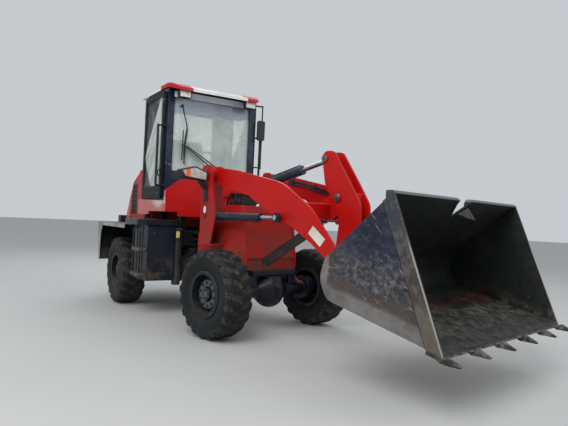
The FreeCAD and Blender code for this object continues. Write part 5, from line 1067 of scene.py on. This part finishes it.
def seat():
    ahead = Vector((1, 0, 0))
    left = Vector((0, 1, 0))
    upward = Vector((0, 0, 1))
    base_place = Vector((-0.638, 0, 1.545))
    bottom = cushion("seat_cushion", (base_place, left, ahead, upward, 0.452, 0.375), 0.072, 0.012, (-0.45, 0.0, 0.45))
    lean = (Vector((-0.875, 0, 2.165)) - Vector((-0.805, 0, 1.640))).normalized()
    facing = left.cross(lean).normalized()
    if facing.x < 0:
        facing = -facing
    back_place = Vector((-0.853, 0, 1.905)) + facing * 0.012
    rest = cushion("seat_backrest", (back_place, left, lean, facing, 0.446, 0.50), 0.062, 0.012, (-0.5, -0.1, 0.3))
    body = Shape()
    body.block((-0.825, -0.150, 1.240), (-0.505, 0.150, 1.522))
    body.plate([(-0.855, -0.215, 1.520), (-0.455, -0.215, 1.520), (-0.455, 0.215, 1.520), (-0.855, 0.215, 1.520)], (0, 0, 0.022))
    shell = [(-0.847, 1.56), (-0.869, 1.56), (-0.923, 2.14), (-0.909, 2.155)]
    body.plate([(x, -0.205, z) for x, z in shell], (0, 0.41, 0))
    for index in range(7):
        z = 1.27 + index * 0.035
        body.block((-0.831, -0.156, z), (-0.499, 0.156, z + 0.016))
    body.finish("seat_pedestal", "chassis", dark_plastic, bevel=0.006, parts=("seat",))
    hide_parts("seat")
    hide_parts("seat")


# Bucket: weld seams, a torn flap on the upper bar, lip plates and the mud on its floor.

def bucket_parts():
    seams = Shape()
    for side in (-1, 1):
        line = []
        for index in range(26):
            t = index / 25
            line.append((3.212 - 0.562 * t - 0.01, side * 0.896, 1.372 - 0.468 * t - 0.02))
        seams.tube([(p[0] + 0.012, p[1], p[2] - 0.004 + 0.002 * math.sin(i * 2.4)) for i, p in enumerate(line)], 0.007, 8, 2)
    seams.finish("bucket_welds", "bucket", bucket_own, FRONT)
    flap = Shape()
    flap.plate([(3.214, -0.098, 1.262), (3.216, 0.052, 1.314), (3.236, 0.132, 1.226), (3.222, 0.040, 1.236)], (0.007, 0, 0.001))
    flap.finish("bucket_torn_flap", "bucket", lip_look, FRONT, bevel=0.001)
    blade = Shape()
    profile = [(3.448, 0.4575), (3.596, 0.4240), (3.597, 0.4290), (3.449, 0.4630)]
    for index in range(5):
        low = -0.896 + 0.3610 * index
        blade.plate([(x, low, z + 0.0008 * index) for x, z in profile], (0, 0.348, 0))
    blade.finish("bucket_lip_plates", "bucket", lip_look, FRONT, bevel=0.001)
    dirt = bmesh.new()
    grid = {}
    across, deep = 90, 36
    for i in range(across + 1):
        for j in range(deep + 1):
            y = -0.885 + 1.77 * i / across
            t = j / deep
            x = 2.74 + 0.70 * t
            z = 0.6165 - 0.2251 * (x - 2.676) + 0.0155
            spot = Vector((x * 5, y * 5, 0.3))
            lump = max(0.0, noise.fractal(spot, 0.7, 2.2, 6) * 0.5 + 0.32)
            fade = min(1.0, min(t, 1 - t) * 6, (1 - abs(y) / 0.885) * 12)
            height = 0.034 * lump * fade + 0.010 * noise.noise(spot * 4) * fade
            grid[i, j] = dirt.verts.new((x, y, z + max(height, -0.002)))
    for i in range(across):
        for j in range(deep):
            dirt.faces.new((grid[i, j], grid[i, j + 1], grid[i + 1, j + 1], grid[i + 1, j]))
    data = bpy.data.meshes.new("bucket_mud")
    bmesh.ops.recalc_face_normals(dirt, faces=dirt.faces)
    dirt.to_mesh(data)
    dirt.free()
    data.shade_smooth()
    data.materials.append(bucket_own)
    item = bpy.data.objects.new("bucket_mud", data)
    scene.collection.objects.link(item)
    item.matrix_world = FRONT
    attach(item, "bucket")


def stage():
    shape = bmesh.new()
    bmesh.ops.create_circle(shape, cap_ends=True, segments=96, radius=60)
    data = bpy.data.meshes.new("floor")
    shape.to_mesh(data)
    shape.free()
    data.materials.append(ground())
    floor = bpy.data.objects.new("floor", data)
    scene.collection.objects.link(floor)
    world = bpy.data.worlds.new("overcast")
    world.use_nodes = True
    sky = world.node_tree.nodes["Background"]
    sky.inputs[0].default_value = (0.86, 0.90, 0.94, 1)
    sky.inputs[1].default_value = 0.66
    scene.world = world
    for name, spot, size, power in (
        ("key", (4.5, -6.0, 7.5), 6.0, 600),
        ("fill", (6.5, 3.5, 5.5), 6.0, 150),
        ("back", (-6.5, 3.0, 6.0), 6.0, 220),
    ):
        data = bpy.data.lights.new(name, "AREA")
        data.size = size
        data.energy = power
        light = bpy.data.objects.new(name, data)
        light.location = spot
        light.rotation_euler = (Vector((0, 0, 1.0)) - Vector(spot)).to_track_quat("-Z", "Y").to_euler()
        scene.collection.objects.link(light)
    scene.view_settings.view_transform = "Standard"
    view = bpy.data.cameras.new("camera")
    view.lens = 33.26
    view.sensor_width = 36
    view.clip_end = 200
    camera = bpy.data.objects.new("camera", view)
    yaw, pitch, roll = 2.5798, 0.0118, 0.0459
    ahead = Vector((math.cos(yaw) * math.cos(pitch), math.sin(yaw) * math.cos(pitch), math.sin(pitch)))
    level = Vector((math.sin(yaw), -math.cos(yaw), 0))
    top = level.cross(ahead)
    right = level * math.cos(roll) + top * math.sin(roll)
    up = top * math.cos(roll) - level * math.sin(roll)
    turn = Matrix((right, up, -ahead)).transposed().to_4x4()
    camera.matrix_world = Matrix.Translation((5.0004, -2.9937, 1.1675)) @ turn
    scene.collection.objects.link(camera)
    scene.camera = camera


wheels()
cab()
lamps()
boom()
tail()
seat()
bucket_parts()
stage()
